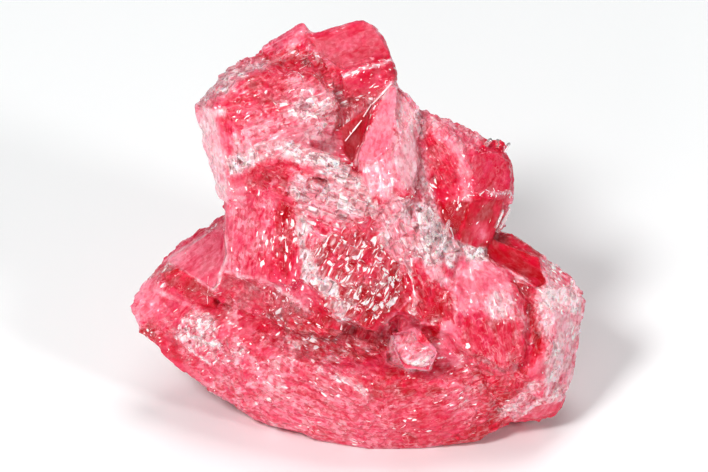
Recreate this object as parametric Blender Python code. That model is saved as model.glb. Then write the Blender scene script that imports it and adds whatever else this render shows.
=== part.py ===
"""Rhodonite specimen: one intergrown cluster of crystals on its own broken base.

The cluster is a single stone. Each crystal is the convex hull of its corners, so that it has flat
faces; the crystals are joined into one solid, and cleavage breaks, cavities and the flat resting
face are then cut from it. Lengths in the tables are millimetres and the scene is in metres.
"""

import math
import random

import bmesh
import bpy
from mathutils import Matrix, Vector
from mathutils.bvhtree import BVHTree

# Driving dimensions
MM = 0.001
CLUSTER_WIDTH = 32.0
FACE_LEAN_DEG = 38.0
TABLE_WIDTH = 32.2

# Cleavage: wide shallow terraces broken across the faces, and breaks along the crystals' edges
CLEAVAGE_AXIS = Vector((0.35, 0.50, 0.79))
TERRACE_COUNT = 84
TERRACE_LENGTH = (3.0, 8.0)
TERRACE_WIDTH = (2.0, 4.5)
TERRACE_TILT_DEG = (4.0, 9.0)
TERRACE_SINK = (-0.05, 0.16)
BREAK_SHARE = 0.3
BREAK_MIN_ANGLE_DEG = 32.0
BREAK_MIN_EDGE = 2.0
BREAK_WIDTH = 3.0
BREAK_DEPTH = (0.18, 0.42)
CUTTER_HEIGHT = 1.4
UNBROKEN = ("peak", "small_crystal", "small_crystal_foot", "plate")
CUT_LIMIT = 0.45
EDGE_CUT_LIMIT = 0.8

# Small grains grown in the seams between the large crystals
GRAIN_TRIES = 200
GRAIN_SIZE = (0.45, 1.05)
SEAM_REACH = 0.7

# Sharp crests on the front: points (across, up the face), then the crest's width and rise
RIDGES = {
    "crown_ridge": ([(2.6, 27.2), (1.0, 26.7), (-0.8, 25.9)], 1.3, 0.3),
    "arch_crest": (
        [(-8.2, 19.7), (-6.4, 20.5), (-4.5, 20.7), (-2.2, 19.9), (0.0, 18.4), (1.0, 17.2)], 1.8, 0.42,
    ),
    "upper_arm": ([(-4.0, 17.3), (-3.5, 15.0), (-3.2, 12.2)], 1.5, 0.4),
    "keel_crest": ([(-2.4, 5.6), (-0.4, 4.5), (0.9, 3.6)], 1.5, 0.4),
    "right_crest": ([(6.8, 17.2), (8.0, 17.8), (9.6, 17.9), (11.0, 17.9)], 1.2, 0.25),
    "spur_left": ([(4.4, 17.0), (5.0, 15.4), (5.4, 13.6)], 1.3, 0.5),
    "spur_right": ([(6.0, 16.2), (6.2, 14.8), (6.8, 13.4)], 1.3, 0.45),
}
RIDGE_ROOT = 0.7

# Flakes that stand clear of the front: (across, up, out) of the corners
SHARDS = {
    "shoulder_shard": [
        (9.1, 21.0, 4.2), (9.5, 21.8, 4.5), (10.3, 21.75, 4.3), (10.9, 21.2, 4.1), (10.1, 20.6, 3.6),
        (9.8, 21.2, 3.2),
    ],
    "foot_shard": [
        (10.2, 15.9, 3.4), (10.5, 16.75, 3.3), (10.85, 16.6, 3.1), (10.7, 15.7, 2.9), (10.1, 15.3, 2.6),
        (9.8, 16.3, 2.9),
    ],
}

# The hollow under the arch: its middle on the front, then its radii
ARCH_HOLLOW = (-6.3, 18.9, 7.3)
ARCH_HOLLOW_RADII = (1.75, 0.95, 1.1)
BARE_HEIGHT = 0.9
WELD_DISTANCES = (0.02, 0.012, 0.008, 0.004, 0.002, 0.001)
GROUND_BLOCK = (60.0, 60.0, 20.0)
SEED = 26

STONE_COLOUR = (0.74, 0.10, 0.19, 1.0)
STONE_ROUGHNESS = 0.28

FACE_SIN = math.sin(math.radians(FACE_LEAN_DEG))
FACE_COS = math.cos(math.radians(FACE_LEAN_DEG))
SCALE = MM * CLUSTER_WIDTH / TABLE_WIDTH
CLUSTER_MIDDLE = Vector((0.0, 8.5, 12.0))

# The front of the cluster leans back by FACE_LEAN_DEG. Corners on the front are (across, up the
# face, out of the face) from the middle of its lowest edge. Hidden corners are (across, back, up).
CRYSTALS = {
    "keel": {
        "front": [
            (-16.0, 10.1, 0.5), (-15.3, 8.2, 0.2), (-13.2, 6.1, 0.0), (-9.1, 3.4, -0.2),
            (-5.9, 1.7, -0.2), (-3.1, 0.75, 0.0), (1.0, -0.15, 0.1), (4.5, -0.05, 0.2),
            (8.8, 0.5, 0.4), (10.5, 1.6, 0.6),
            (-12.0, 9.6, 2.4), (-8.0, 7.6, 4.2), (-3.0, 5.6, 5.0), (2.0, 4.6, 4.9),
            (6.5, 4.6, 4.6), (9.3, 4.6, 3.6), (-7.0, 4.2, 2.2), (0.0, 1.8, 2.6), (6.0, 1.8, 2.6),
            (-13.5, 12.0, 0.8),
        ],
        "hidden": [
            (-12.0, 9.0, 10.5), (-9.0, 12.5, 9.0), (-2.0, 14.5, 9.0), (6.0, 14.0, 9.0),
            (10.0, 11.0, 8.0), (-6.5, 3.5, -1.0), (-1.0, 1.0, -1.0), (3.0, 0.8, -1.0),
            (8.0, 1.6, -1.0), (9.5, 5.0, -1.0), (9.0, 10.0, -1.0), (4.0, 13.5, -1.0),
            (-3.0, 13.5, -1.0), (-7.0, 10.5, -1.0),
        ],
    },
    "wing": {
        "front": [
            (-12.9, 13.6, 0.9), (-9.0, 16.4, 1.5), (-9.0, 13.3, 4.2), (-9.6, 11.1, 4.4),
            (-12.6, 12.6, 2.4), (-15.0, 11.7, 0.6), (-15.9, 10.1, 0.5), (-12.4, 11.2, 2.0),
            (-8.0, 16.8, 1.5),
        ],
        "hidden": [(-12.5, 9.5, 11.0), (-8.0, 11.5, 13.0), (-6.0, 7.0, 8.0)],
    },
    "panel": {
        "front": [
            (-9.0, 17.6, 4.2), (-9.1, 13.2, 4.5), (-9.3, 12.3, 4.4), (-7.5, 12.1, 5.8),
            (-4.6, 11.6, 7.0), (-3.6, 12.2, 7.3), (-3.9, 17.0, 7.2), (-5.5, 18.0, 6.6),
            (-8.0, 18.2, 5.4), (-9.1, 17.3, 2.4), (-9.05, 16.3, 2.0),
        ],
        "hidden": [(-8.5, 11.0, 12.0), (-8.5, 11.0, 17.0), (-2.0, 12.0, 18.0), (-2.0, 8.0, 8.0)],
    },
    "hump": {
        "front": [
            (-3.4, 15.4, 7.2), (-3.4, 12.0, 7.4), (-1.2, 9.1, 6.9), (1.4, 8.4, 6.4),
            (3.2, 9.6, 6.2), (3.6, 13.2, 6.6), (1.2, 15.0, 7.4), (-1.5, 15.8, 7.8),
            (-0.6, 12.6, 8.3), (1.2, 11.6, 8.0),
        ],
        "hidden": [(-3.0, 6.0, 8.0), (3.0, 6.0, 8.0), (3.0, 7.0, 15.0), (-3.0, 7.0, 15.0)],
    },
    "shoulder": {
        "front": [
            (-10.0, 24.2, 6.6), (-8.9, 18.5, 6.2), (-8.8, 17.4, 5.6), (-11.4, 23.7, 4.2),
            (-11.2, 24.1, 4.2), (-10.4, 20.5, 3.6), (-10.0, 18.9, 3.4), (-9.7, 17.9, 3.4),
            (-9.1, 17.2, 3.8), (-10.9, 24.4, 4.6), (-9.0, 26.5, 4.6), (-8.4, 27.0, 4.6),
            (-7.1, 27.5, 4.6), (-8.8, 25.6, 6.6), (-6.2, 26.4, 6.9), (-3.0, 26.0, 7.3),
            (-1.3, 24.9, 7.2), (-1.1, 23.0, 7.0), (-1.5, 21.9, 6.8), (-7.8, 20.2, 6.8),
            (-4.5, 21.2, 7.4),
        ],
        "hidden": [
            (-10.5, 14.0, 19.5), (-8.0, 15.5, 22.5), (-2.0, 16.0, 22.0), (-9.0, 13.5, 14.5),
            (-3.0, 15.0, 13.0),
        ],
    },
    "arch_left": {
        "front": [
            (-8.4, 19.6, 6.4), (-7.0, 20.3, 7.3), (-4.4, 20.7, 7.9), (-4.2, 19.6, 7.9),
            (-4.6, 18.0, 7.2), (-8.2, 18.0, 6.0),
        ],
        "hidden": [(-8.0, 11.0, 15.0), (-4.0, 11.0, 15.0)],
    },
    "arch_right": {
        "front": [
            (-4.4, 20.7, 7.9), (-2.2, 20.2, 8.2), (-0.2, 19.0, 8.1), (1.2, 17.3, 7.7),
            (0.6, 16.2, 7.5), (-2.0, 17.2, 7.9), (-4.2, 18.2, 7.5),
        ],
        "hidden": [(-4.0, 11.0, 15.0), (0.5, 10.5, 14.0)],
    },
    "peak": {
        "front": [
            (-7.0, 27.6, 4.6), (-5.7, 28.8, 4.4), (-3.84, 30.0, 4.6), (-3.5, 29.9, 4.9),
            (-3.2, 29.1, 5.2), (-3.6, 27.8, 5.8), (-5.6, 27.5, 5.6),
        ],
        "hidden": [(-6.0, 15.5, 22.5), (-3.0, 17.0, 23.5), (-4.0, 12.5, 20.0)],
    },
    "crown": {
        "front": [
            (-3.4, 29.0, 4.8), (-1.9, 29.5, 4.8), (-0.5, 29.8, 4.8), (0.35, 30.15, 4.9),
            (0.95, 30.0, 4.9), (1.4, 29.6, 5.1), (1.9, 29.2, 4.9), (2.35, 28.4, 4.9),
            (2.55, 27.8, 5.0), (-2.8, 27.6, 6.2), (-0.5, 26.3, 6.9), (2.3, 27.4, 6.2),
        ],
        "hidden": [(-4.0, 16.5, 23.0), (1.0, 17.0, 23.5), (2.0, 13.0, 19.0), (-4.0, 13.0, 19.0)],
    },
    "crown_foot": {
        "front": [
            (2.6, 27.6, 5.4), (2.85, 27.1, 5.2), (3.05, 26.4, 5.2), (3.1, 25.6, 5.2),
            (2.7, 25.6, 6.0), (1.2, 24.4, 6.0), (-0.8, 24.6, 6.2), (-0.9, 25.9, 6.6),
            (1.0, 26.9, 6.6),
        ],
        "hidden": [(2.5, 15.0, 21.0), (-1.0, 15.0, 21.0), (2.0, 12.0, 17.0)],
    },
    "wedge": {
        "front": [
            (3.05, 25.5, 6.2), (2.6, 25.6, 6.3), (1.2, 24.0, 6.7), (0.7, 22.5, 7.2),
            (0.3, 21.0, 7.6), (0.1, 20.2, 7.7), (0.9, 18.2, 8.2), (2.9, 24.6, 7.2),
            (2.7, 22.0, 8.2), (2.4, 19.0, 8.6), (3.9, 24.7, 6.2), (4.4, 24.1, 6.0),
            (4.5, 22.5, 6.8), (4.3, 20.0, 7.4), (3.9, 17.6, 7.8), (1.2, 16.8, 7.9),
            (3.2, 16.2, 7.8),
        ],
        "hidden": [(1.5, 12.0, 18.0), (4.0, 13.0, 19.0), (2.0, 9.0, 12.0)],
    },
    "spike": {
        "front": [
            (3.75, 22.9, 7.7), (2.7, 20.4, 8.7), (4.3, 20.3, 8.1), (3.4, 18.2, 9.0),
            (2.6, 17.2, 8.4), (4.1, 16.8, 7.8),
        ],
        "hidden": [(3.4, 9.0, 16.0)],
    },
    "right_shoulder": {
        "front": [
            (4.7, 23.9, 4.9), (6.9, 23.0, 4.6), (5.0, 21.3, 6.4), (7.2, 21.8, 6.5),
            (8.1, 19.8, 6.6), (7.9, 17.9, 6.5), (6.7, 17.3, 6.0), (5.3, 19.0, 5.6),
            (5.1, 22.7, 5.9),
        ],
        "hidden": [(5.0, 13.5, 18.0), (8.0, 13.0, 16.0), (5.0, 9.0, 13.0)],
    },
    "right_shoulder_face": {
        "front": [
            (6.9, 23.0, 4.5), (8.0, 22.4, 4.5), (8.84, 21.6, 4.4), (9.7, 21.4, 4.2),
            (10.6, 20.9, 3.9), (11.1, 19.9, 3.6), (11.2, 19.1, 3.5), (11.2, 18.1, 3.5),
            (8.2, 20.8, 6.2), (8.1, 17.9, 6.4), (10.6, 18.0, 5.0), (10.8, 19.6, 4.8),
        ],
        "hidden": [(10.5, 11.5, 16.5), (8.0, 13.5, 18.0), (9.0, 9.0, 12.0)],
    },
    "right_shoulder_foot": {
        "front": [
            (6.8, 17.3, 6.0), (8.1, 17.8, 6.3), (9.5, 17.7, 5.9), (11.1, 18.0, 4.0),
            (10.8, 17.3, 3.4), (5.8, 16.5, 5.4), (6.6, 15.5, 5.0), (7.2, 14.6, 4.9),
            (7.7, 14.1, 4.8), (9.0, 14.1, 4.6), (9.7, 14.8, 4.0), (10.3, 15.9, 3.4),
            (8.3, 16.9, 6.0), (7.5, 15.0, 5.4),
        ],
        "hidden": [(10.0, 11.0, 15.0), (6.0, 9.0, 12.0), (9.0, 9.0, 10.0)],
    },
    "small_crystal": {
        "front": [
            (9.2, 14.0, 3.6), (9.9, 13.1, 4.2), (12.9, 11.3, 4.2), (13.5, 11.9, 3.9),
            (9.8, 15.05, 2.8), (10.6, 15.25, 2.6), (11.1, 15.15, 2.6), (13.4, 13.5, 2.4),
        ],
        "hidden": [(10.0, 9.5, 12.0), (13.5, 9.0, 10.0), (10.0, 7.0, 8.0)],
    },
    "small_crystal_foot": {
        "front": [
            (13.2, 13.65, 2.0), (15.3, 12.1, 1.6), (14.9, 12.45, 1.7), (15.0, 11.3, 2.8),
            (13.2, 11.3, 3.8), (12.8, 13.0, 2.6),
        ],
        "hidden": [(13.5, 9.0, 9.0), (12.0, 7.0, 8.0)],
    },
    "right_body": {
        "front": [
            (6.9, 13.3, 5.6), (9.0, 13.5, 4.8), (10.5, 12.7, 4.4), (11.3, 11.4, 4.4),
            (12.0, 10.2, 4.5), (11.9, 8.2, 4.8), (11.8, 6.2, 4.8), (9.9, 5.6, 5.0),
            (7.4, 7.0, 5.8), (6.9, 8.0, 6.0), (6.9, 11.3, 6.0),
        ],
        "hidden": [
            (7.0, 9.0, 12.0), (12.0, 9.0, 10.0), (7.0, 5.0, 3.0), (12.0, 6.0, 3.0),
            (12.0, 10.0, 5.0),
        ],
    },
    "right_corner": {
        "front": [
            (13.0, 11.4, 3.4), (15.4, 12.0, 1.7), (15.8, 11.3, 1.6), (16.25, 10.4, 1.4),
            (16.1, 9.7, 1.3), (16.0, 8.8, 1.2), (15.8, 8.0, 1.0), (15.6, 6.6, 0.8),
            (15.4, 5.0, 0.6), (15.15, 4.0, 0.3), (12.6, 10.6, 4.0), (13.1, 8.6, 4.4),
            (14.8, 9.6, 3.2), (13.6, 7.0, 4.2), (12.4, 5.0, 4.2), (13.2, 3.6, 2.8),
        ],
        "hidden": [(14.0, 8.5, 9.0), (15.0, 7.0, 6.0), (13.0, 9.0, 3.0), (9.0, 8.0, 7.0)],
    },
    "right_foot": {
        "front": [
            (15.0, 3.8, 0.2), (14.75, 2.9, -0.2), (14.2, 2.1, -0.3), (13.0, 1.9, -0.2),
            (11.5, 1.85, 0.3), (10.7, 1.95, 0.8), (14.6, 3.4, 0.9), (12.0, 4.6, 3.6),
            (10.2, 3.2, 3.0), (9.2, 4.6, 3.9), (9.9, 5.5, 4.6), (12.4, 5.4, 4.2),
        ],
        "hidden": [(13.0, 5.5, 1.5), (10.0, 4.0, -1.0), (7.0, 8.0, 3.0)],
    },
    "plate": {
        "front": [
            (2.5, 8.3, 6.2), (4.3, 8.8, 6.4), (5.0, 8.0, 6.6), (5.9, 7.0, 6.5),
            (5.6, 6.2, 6.4), (5.2, 5.5, 6.1), (3.4, 5.6, 6.3), (2.8, 7.0, 6.4),
            (2.9, 7.6, 4.6), (5.2, 6.9, 4.6), (4.2, 6.4, 4.6), (4.0, 7.2, 3.4),
        ],
        "hidden": [],
    },
    "middle_right": {
        "front": [
            (3.4, 16.5, 7.2), (5.2, 17.4, 5.8), (6.6, 14.9, 5.6), (7.0, 13.2, 5.8),
            (6.9, 8.2, 5.9), (4.6, 8.8, 6.2), (3.3, 10.0, 6.3), (3.5, 13.0, 6.8),
        ],
        "hidden": [(3.0, 9.0, 14.0), (6.5, 9.0, 12.0), (4.0, 6.0, 6.0)],
    },
    "groove_fill": {
        "front": [
            (4.2, 24.0, 5.3), (5.0, 23.6, 4.9), (4.4, 22.0, 6.3), (5.3, 21.0, 6.0),
            (4.5, 19.0, 6.7), (5.5, 18.4, 5.6), (4.4, 17.0, 6.8), (5.8, 16.6, 5.5),
        ],
        "hidden": [(4.5, 11.0, 15.0), (5.5, 11.0, 13.0)],
    },
    "middle_fill": {
        "front": [
            (-3.7, 17.6, 7.1), (0.5, 16.8, 7.2), (2.6, 16.9, 7.4), (3.4, 14.0, 6.8),
            (-3.2, 15.0, 6.9), (4.4, 16.0, 6.7), (0.0, 15.2, 7.4), (-4.0, 12.4, 6.8),
        ],
        "hidden": [(-3.0, 9.0, 12.0), (4.0, 9.0, 12.0)],
    },
    "ledge_fill": {
        "front": [
            (6.2, 15.2, 5.4), (9.3, 14.4, 4.3), (9.2, 13.5, 4.5), (6.8, 13.4, 5.5),
            (7.8, 14.4, 5.1), (9.9, 14.3, 3.6), (5.4, 16.4, 5.5),
        ],
        "hidden": [(7.0, 9.0, 11.0), (9.4, 8.5, 9.0)],
    },
    "mass_left": {
        "front": [
            (-9.6, 10.4, 3.2), (-4.4, 8.4, 4.4), (-8.8, 16.8, 3.4), (-3.4, 12.0, 6.2),
            (-3.6, 17.6, 6.3), (-8.0, 18.4, 4.8), (-1.0, 8.0, 4.9), (0.0, 17.0, 6.4),
        ],
        "hidden": [(-9.0, 9.0, 9.0), (-8.4, 11.0, 13.5), (0.0, 11.0, 15.0), (0.0, 6.0, 4.0)],
    },
    "mass_upper": {
        "front": [
            (-9.6, 23.4, 4.8), (-8.6, 18.8, 5.2), (-7.6, 26.0, 4.6), (-5.0, 27.2, 4.9),
            (-1.6, 25.8, 5.4), (1.6, 26.0, 5.2), (2.8, 24.9, 5.2), (3.9, 22.6, 5.6),
            (4.4, 17.4, 6.2), (0.6, 16.2, 6.6), (-4.4, 18.4, 6.6), (-0.6, 20.6, 6.2),
            (-1.4, 23.4, 5.4),
        ],
        "hidden": [(-8.4, 12.0, 15.5), (4.0, 12.5, 14.0), (-6.0, 15.0, 21.0), (2.0, 15.0, 20.0)],
    },
    "mass_right_upper": {
        "front": [
            (4.2, 23.4, 5.2), (6.8, 22.2, 5.0), (9.8, 20.0, 4.2), (9.8, 16.4, 3.4),
            (5.0, 19.4, 5.8), (4.6, 15.6, 6.2), (7.4, 14.6, 4.7), (8.8, 14.4, 4.1), (8.0, 18.0, 5.6),
        ],
        "hidden": [(3.0, 14.5, 17.0), (8.4, 12.5, 14.5), (3.0, 9.0, 9.0), (9.0, 9.5, 8.0)],
    },
    "mass_right": {
        "front": [
            (4.2, 14.6, 5.8), (8.6, 13.2, 4.3), (12.2, 12.2, 3.2), (14.8, 11.2, 1.6),
            (12.3, 9.6, 3.5), (15.2, 7.4, 0.9), (14.6, 3.9, 0.3), (12.2, 6.4, 3.7),
            (9.6, 5.0, 3.6), (6.4, 7.4, 4.9), (3.0, 8.4, 5.2), (3.4, 14.8, 5.8),
            (10.4, 2.8, 1.0),
        ],
        "hidden": [(3.0, 9.0, 10.0), (11.6, 9.0, 8.4), (12.6, 7.6, 5.0), (4.0, 8.0, 1.0)],
    },
    "back_left": {
        "front": [],
        "hidden": [
            (-8.4, 11.0, 13.0), (-8.8, 13.2, 20.0), (-7.4, 16.8, 17.4), (-7.9, 15.4, 11.0),
            (-1.2, 18.0, 19.2), (-0.6, 17.4, 10.4), (-6.2, 16.3, 20.8), (-1.6, 17.2, 22.4),
            (-7.0, 12.6, 8.8), (0.0, 13.0, 9.0),
        ],
    },
    "back_right": {
        "front": [],
        "hidden": [
            (0.6, 17.5, 17.8), (6.3, 15.4, 15.6), (8.8, 12.8, 12.4), (9.6, 12.2, 7.2),
            (7.0, 15.7, 6.2), (-0.4, 17.0, 6.6), (0.4, 16.9, 12.2), (8.2, 11.0, 5.0),
            (1.0, 11.0, 4.0), (2.0, 15.0, 19.4),
        ],
    },
    "back_low": {
        "front": [],
        "hidden": [
            (-9.6, 12.0, 8.4), (-10.8, 9.4, 7.8), (-6.4, 14.8, 9.0), (-7.4, 13.4, -1.0),
            (0.2, 15.8, 9.6), (6.2, 15.0, 6.6), (9.9, 11.4, 5.4), (8.6, 11.0, -1.0),
            (3.0, 14.4, -1.0), (-2.0, 15.2, -1.0), (-9.8, 9.4, 1.2), (0.0, 6.0, 3.0),
        ],
    },
    "back_middle": {
        "front": [],
        "hidden": [
            (-2.6, 16.4, 9.6), (2.4, 16.2, 9.0), (-2.4, 16.9, 17.0), (1.8, 16.6, 17.6),
            (-0.4, 16.9, 14.0), (-2.0, 10.0, 9.0), (2.0, 10.0, 9.0), (2.0, 10.0, 18.0),
            (-2.0, 10.0, 18.0), (0.4, 16.2, 19.0),
        ],
    },
    "back_tooth": {
        "front": [],
        "hidden": [
            (-4.6, 17.6, 12.6), (-2.0, 18.4, 12.0), (0.2, 18.2, 13.6), (-0.4, 18.6, 16.2),
            (-3.6, 18.3, 16.4), (-5.0, 17.4, 14.4), (-4.0, 14.0, 16.0), (0.0, 14.0, 12.0),
        ],
    },
    "back_shelf": {
        "front": [],
        "hidden": [
            (1.4, 16.6, 9.0), (6.6, 16.2, 8.2), (7.6, 14.8, 9.6), (5.6, 15.4, 12.4),
            (2.0, 17.3, 12.0), (4.0, 12.0, 9.0), (4.8, 16.7, 6.0), (1.8, 16.6, 5.6),
        ],
    },
    "core": {
        "front": [
            (-6.0, 14.0, 3.5), (6.0, 14.0, 3.5), (-6.0, 22.0, 4.5), (5.0, 21.0, 4.5),
            (-5.0, 7.0, 3.0), (8.0, 7.0, 3.0),
        ],
        "hidden": [
            (-8.0, 9.0, 3.0), (9.0, 9.0, 3.0), (-8.0, 13.5, 12.0), (8.0, 13.0, 12.0),
            (-6.0, 16.0, 19.0), (3.0, 16.5, 20.0), (6.0, 14.0, 16.0),
        ],
    },
}


def front_point(across, up, out):
    """Place of a corner given on the leaning front face."""
    return Vector((across, up * FACE_SIN - out * FACE_COS, up * FACE_COS + out * FACE_SIN))


def new_collection(name):
    """A collection linked to the scene."""
    collection = bpy.data.collections.new(name)
    bpy.context.scene.collection.children.link(collection)
    return collection


def clear_scene():
    """Remove every object that is in the scene."""
    for obj in list(bpy.data.objects):
        bpy.data.objects.remove(obj, do_unlink=True)


def crystal_mesh(name, corners):
    """A closed flat-faced crystal: the convex hull of its corners."""
    mesh = bpy.data.meshes.new(name)
    bm = bmesh.new()
    points = [bm.verts.new(corner * SCALE) for corner in corners]
    made = bmesh.ops.convex_hull(bm, input=points)
    inside = {v for v in made["geom_interior"] + made["geom_unused"] if isinstance(v, bmesh.types.BMVert)}
    bmesh.ops.delete(bm, geom=list(inside), context="VERTS")
    bmesh.ops.recalc_face_normals(bm, faces=bm.faces)
    bm.to_mesh(mesh)
    bm.free()
    return mesh


def hidden_helper(obj):
    """Keep a growing or cutting shape out of the finished object."""
    obj.hide_render = True
    obj.display_type = "WIRE"


def grow_crystals(collection):
    """One hidden object for each crystal of the cluster."""
    for name, corners in CRYSTALS.items():
        places = [front_point(*corner) for corner in corners["front"]]
        places += [Vector(corner) for corner in corners["hidden"]]
        obj = bpy.data.objects.new(name, crystal_mesh(name, places))
        collection.objects.link(obj)
        hidden_helper(obj)


def box_cutter(name, size, matrix, collection):
    """A box of that size, in millimetres, placed by a matrix in metres."""
    mesh = bpy.data.meshes.new(name)
    bm = bmesh.new()
    bmesh.ops.create_cube(bm, size=1.0, matrix=matrix @ Matrix.Diagonal((*[s * MM for s in size], 1.0)))
    bm.to_mesh(mesh)
    bm.free()
    obj = bpy.data.objects.new(name, mesh)
    collection.objects.link(obj)
    hidden_helper(obj)
    return obj


def crystal_trees(collection):
    """A ray-casting tree for each crystal."""
    trees = []
    for obj in collection.objects:
        bm = bmesh.new()
        bm.from_mesh(obj.data)
        trees.append(BVHTree.FromBMesh(bm))
        bm.free()
    return trees


def outermost_hit(trees, start, direction):
    """Place and normal of the first crystal face that a ray meets, or None."""
    hits = [tree.ray_cast(start, direction) for tree in trees]
    hits = [hit for hit in hits if hit[0] is not None]
    if not hits:
        return None
    first = min(hits, key=lambda hit: hit[3])
    return first[0], first[1]


def ragged_block(name, place, along, up, length, width, heights, limit, trees, chooser):
    """A cutting block with an uneven six-sided outline.

    heights holds its floor and top along up from the place. A corner of the outline is drawn in while
    the surface there stands more than the limit above the floor, so that neighbours are left whole.
    """
    floor, top = heights
    side = up.cross(along)
    outline = [
        (-0.5, chooser.uniform(-0.25, 0.25)),
        (chooser.uniform(-0.42, -0.2), 0.5),
        (chooser.uniform(0.2, 0.45), chooser.uniform(0.3, 0.5)),
        (0.5, chooser.uniform(-0.25, 0.3)),
        (chooser.uniform(0.1, 0.4), -0.5),
        (chooser.uniform(-0.44, -0.2), chooser.uniform(-0.5, -0.32)),
    ]
    corners = []
    for end, across in outline:
        flat = along * (end * length) + side * (across * width)
        for _ in range(7):
            corner = place / SCALE + flat
            hit = outermost_hit(trees, (corner + up * 40.0) * SCALE, -up)
            if hit is None or (hit[0] / SCALE - corner).dot(up) - floor < limit:
                break
            flat = flat * 0.72
        corners.append(place / SCALE + flat * 0.94 + up * floor)
        corners.append(place / SCALE + flat * 1.1 + up * top)
    return crystal_mesh(name, corners)


def direction_in_face(normal, chooser):
    """The cleavage direction laid in a face, or now and then the one square to it."""
    along = CLEAVAGE_AXIS - normal * CLEAVAGE_AXIS.dot(normal)
    if along.length < 0.2:
        along = normal.orthogonal()
    along.normalize()
    along = Matrix.Rotation(math.radians(chooser.uniform(-14.0, 14.0)), 3, normal) @ along
    if chooser.random() < 0.35:
        return normal.cross(along)
    return along


def directions_all_round(count, chooser):
    """Directions spread evenly over a sphere, each a little out of place."""
    for index in range(count):
        height = 1.0 - 2.0 * (index + chooser.random()) / count
        turn = index * math.pi * (3.0 - math.sqrt(5.0)) + chooser.uniform(-0.3, 0.3)
        ring = math.sqrt(max(0.0, 1.0 - height * height))
        yield Vector((ring * math.cos(turn), ring * math.sin(turn), height))


def link_helper(mesh, collection):
    """A hidden object for a growing or cutting shape."""
    obj = bpy.data.objects.new(mesh.name, mesh)
    collection.objects.link(obj)
    hidden_helper(obj)
    return obj


def break_terraces(trees, cutters, chooser):
    """Wide shallow breaks: each cutter's floor is tilted, so it runs out at one side and leaves a ledge."""
    for index, direction in enumerate(directions_all_round(TERRACE_COUNT, chooser)):
        aim = CLUSTER_MIDDLE + Vector((chooser.uniform(-9.0, 9.0), 0.0, chooser.uniform(-7.0, 7.0)))
        hit = outermost_hit(trees, (aim + direction * 60.0) * MM, -direction)
        length = chooser.uniform(*TERRACE_LENGTH)
        width = chooser.uniform(*TERRACE_WIDTH)
        tilt = math.radians(chooser.uniform(*TERRACE_TILT_DEG)) * chooser.choice((-1.0, 1.0))
        sink = chooser.uniform(*TERRACE_SINK)
        if hit is None or hit[0].z < BARE_HEIGHT * MM:
            continue
        along = direction_in_face(hit[1], chooser)
        up = Matrix.Rotation(tilt, 3, along) @ hit[1]
        name = f"terrace_{index}"
        heights = (-sink, CUTTER_HEIGHT)
        block = ragged_block(name, hit[0], along, up, length, width, heights, CUT_LIMIT, trees, chooser)
        link_helper(block, cutters)


def break_edges(growth, trees, cutters, chooser):
    """Breaks along the outer edges of the crystals."""
    for obj in [obj for obj in growth.objects if obj.name not in UNBROKEN]:
        bm = bmesh.new()
        bm.from_mesh(obj.data)
        bm.normal_update()
        for edge in list(bm.edges):
            angle = edge.calc_face_angle(0.0)
            length = edge.calc_length() / MM
            if math.degrees(angle) < BREAK_MIN_ANGLE_DEG or length < BREAK_MIN_EDGE:
                continue
            share = chooser.random()
            slide = chooser.uniform(0.3, 0.7)
            reach = chooser.uniform(0.35, 0.7) * length
            depth = chooser.uniform(*BREAK_DEPTH)
            lean = math.radians(chooser.uniform(-16.0, 16.0))
            if share > BREAK_SHARE:
                continue
            first, second = edge.verts[0].co, edge.verts[1].co
            place = first.lerp(second, slide)
            up = (edge.link_faces[0].normal + edge.link_faces[1].normal).normalized()
            hit = outermost_hit(trees, place + up * 50.0 * MM, -up)
            if hit is None or (hit[0] - place).length > 0.2 * MM or place.z < BARE_HEIGHT * MM:
                continue
            along = (second - first).normalized()
            up = Matrix.Rotation(lean, 3, along) @ up
            name = f"edge_break_{obj.name}_{edge.index}"
            heights = (-depth, CUTTER_HEIGHT)
            size = (reach, BREAK_WIDTH)
            block = ragged_block(name, place, along, up, *size, heights, EDGE_CUT_LIMIT, trees, chooser)
            link_helper(block, cutters)
        bm.free()


def grow_ridges(trees, growth):
    """Sharp crests laid on the front faces, one hull for each stretch."""
    out_of_face = front_point(0.0, 0.0, 1.0)
    for name, (path, width, rise) in RIDGES.items():
        places = []
        for across, up in path:
            hit = outermost_hit(trees, front_point(across, up, 40.0) * SCALE, -out_of_face)
            places.append(hit[0] / SCALE)
        for index in range(len(places) - 1):
            here, there = places[index], places[index + 1]
            side = out_of_face.cross(there - here).normalized() * width / 2
            crest = [here + out_of_face * rise, there + out_of_face * rise]
            foot = [here + side, here - side, there + side, there - side]
            low = [corner - out_of_face * RIDGE_ROOT for corner in foot]
            run = (there - here) * 0.12
            ends = [here - run - out_of_face * 0.2, there + run - out_of_face * 0.2]
            link_helper(crystal_mesh(f"{name}_{index}", crest + foot + low + ends), growth)


def grow_shards(growth):
    """Thin flakes that stand clear of the front."""
    for name, corners in SHARDS.items():
        link_helper(crystal_mesh(name, [front_point(*corner) for corner in corners]), growth)


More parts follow.
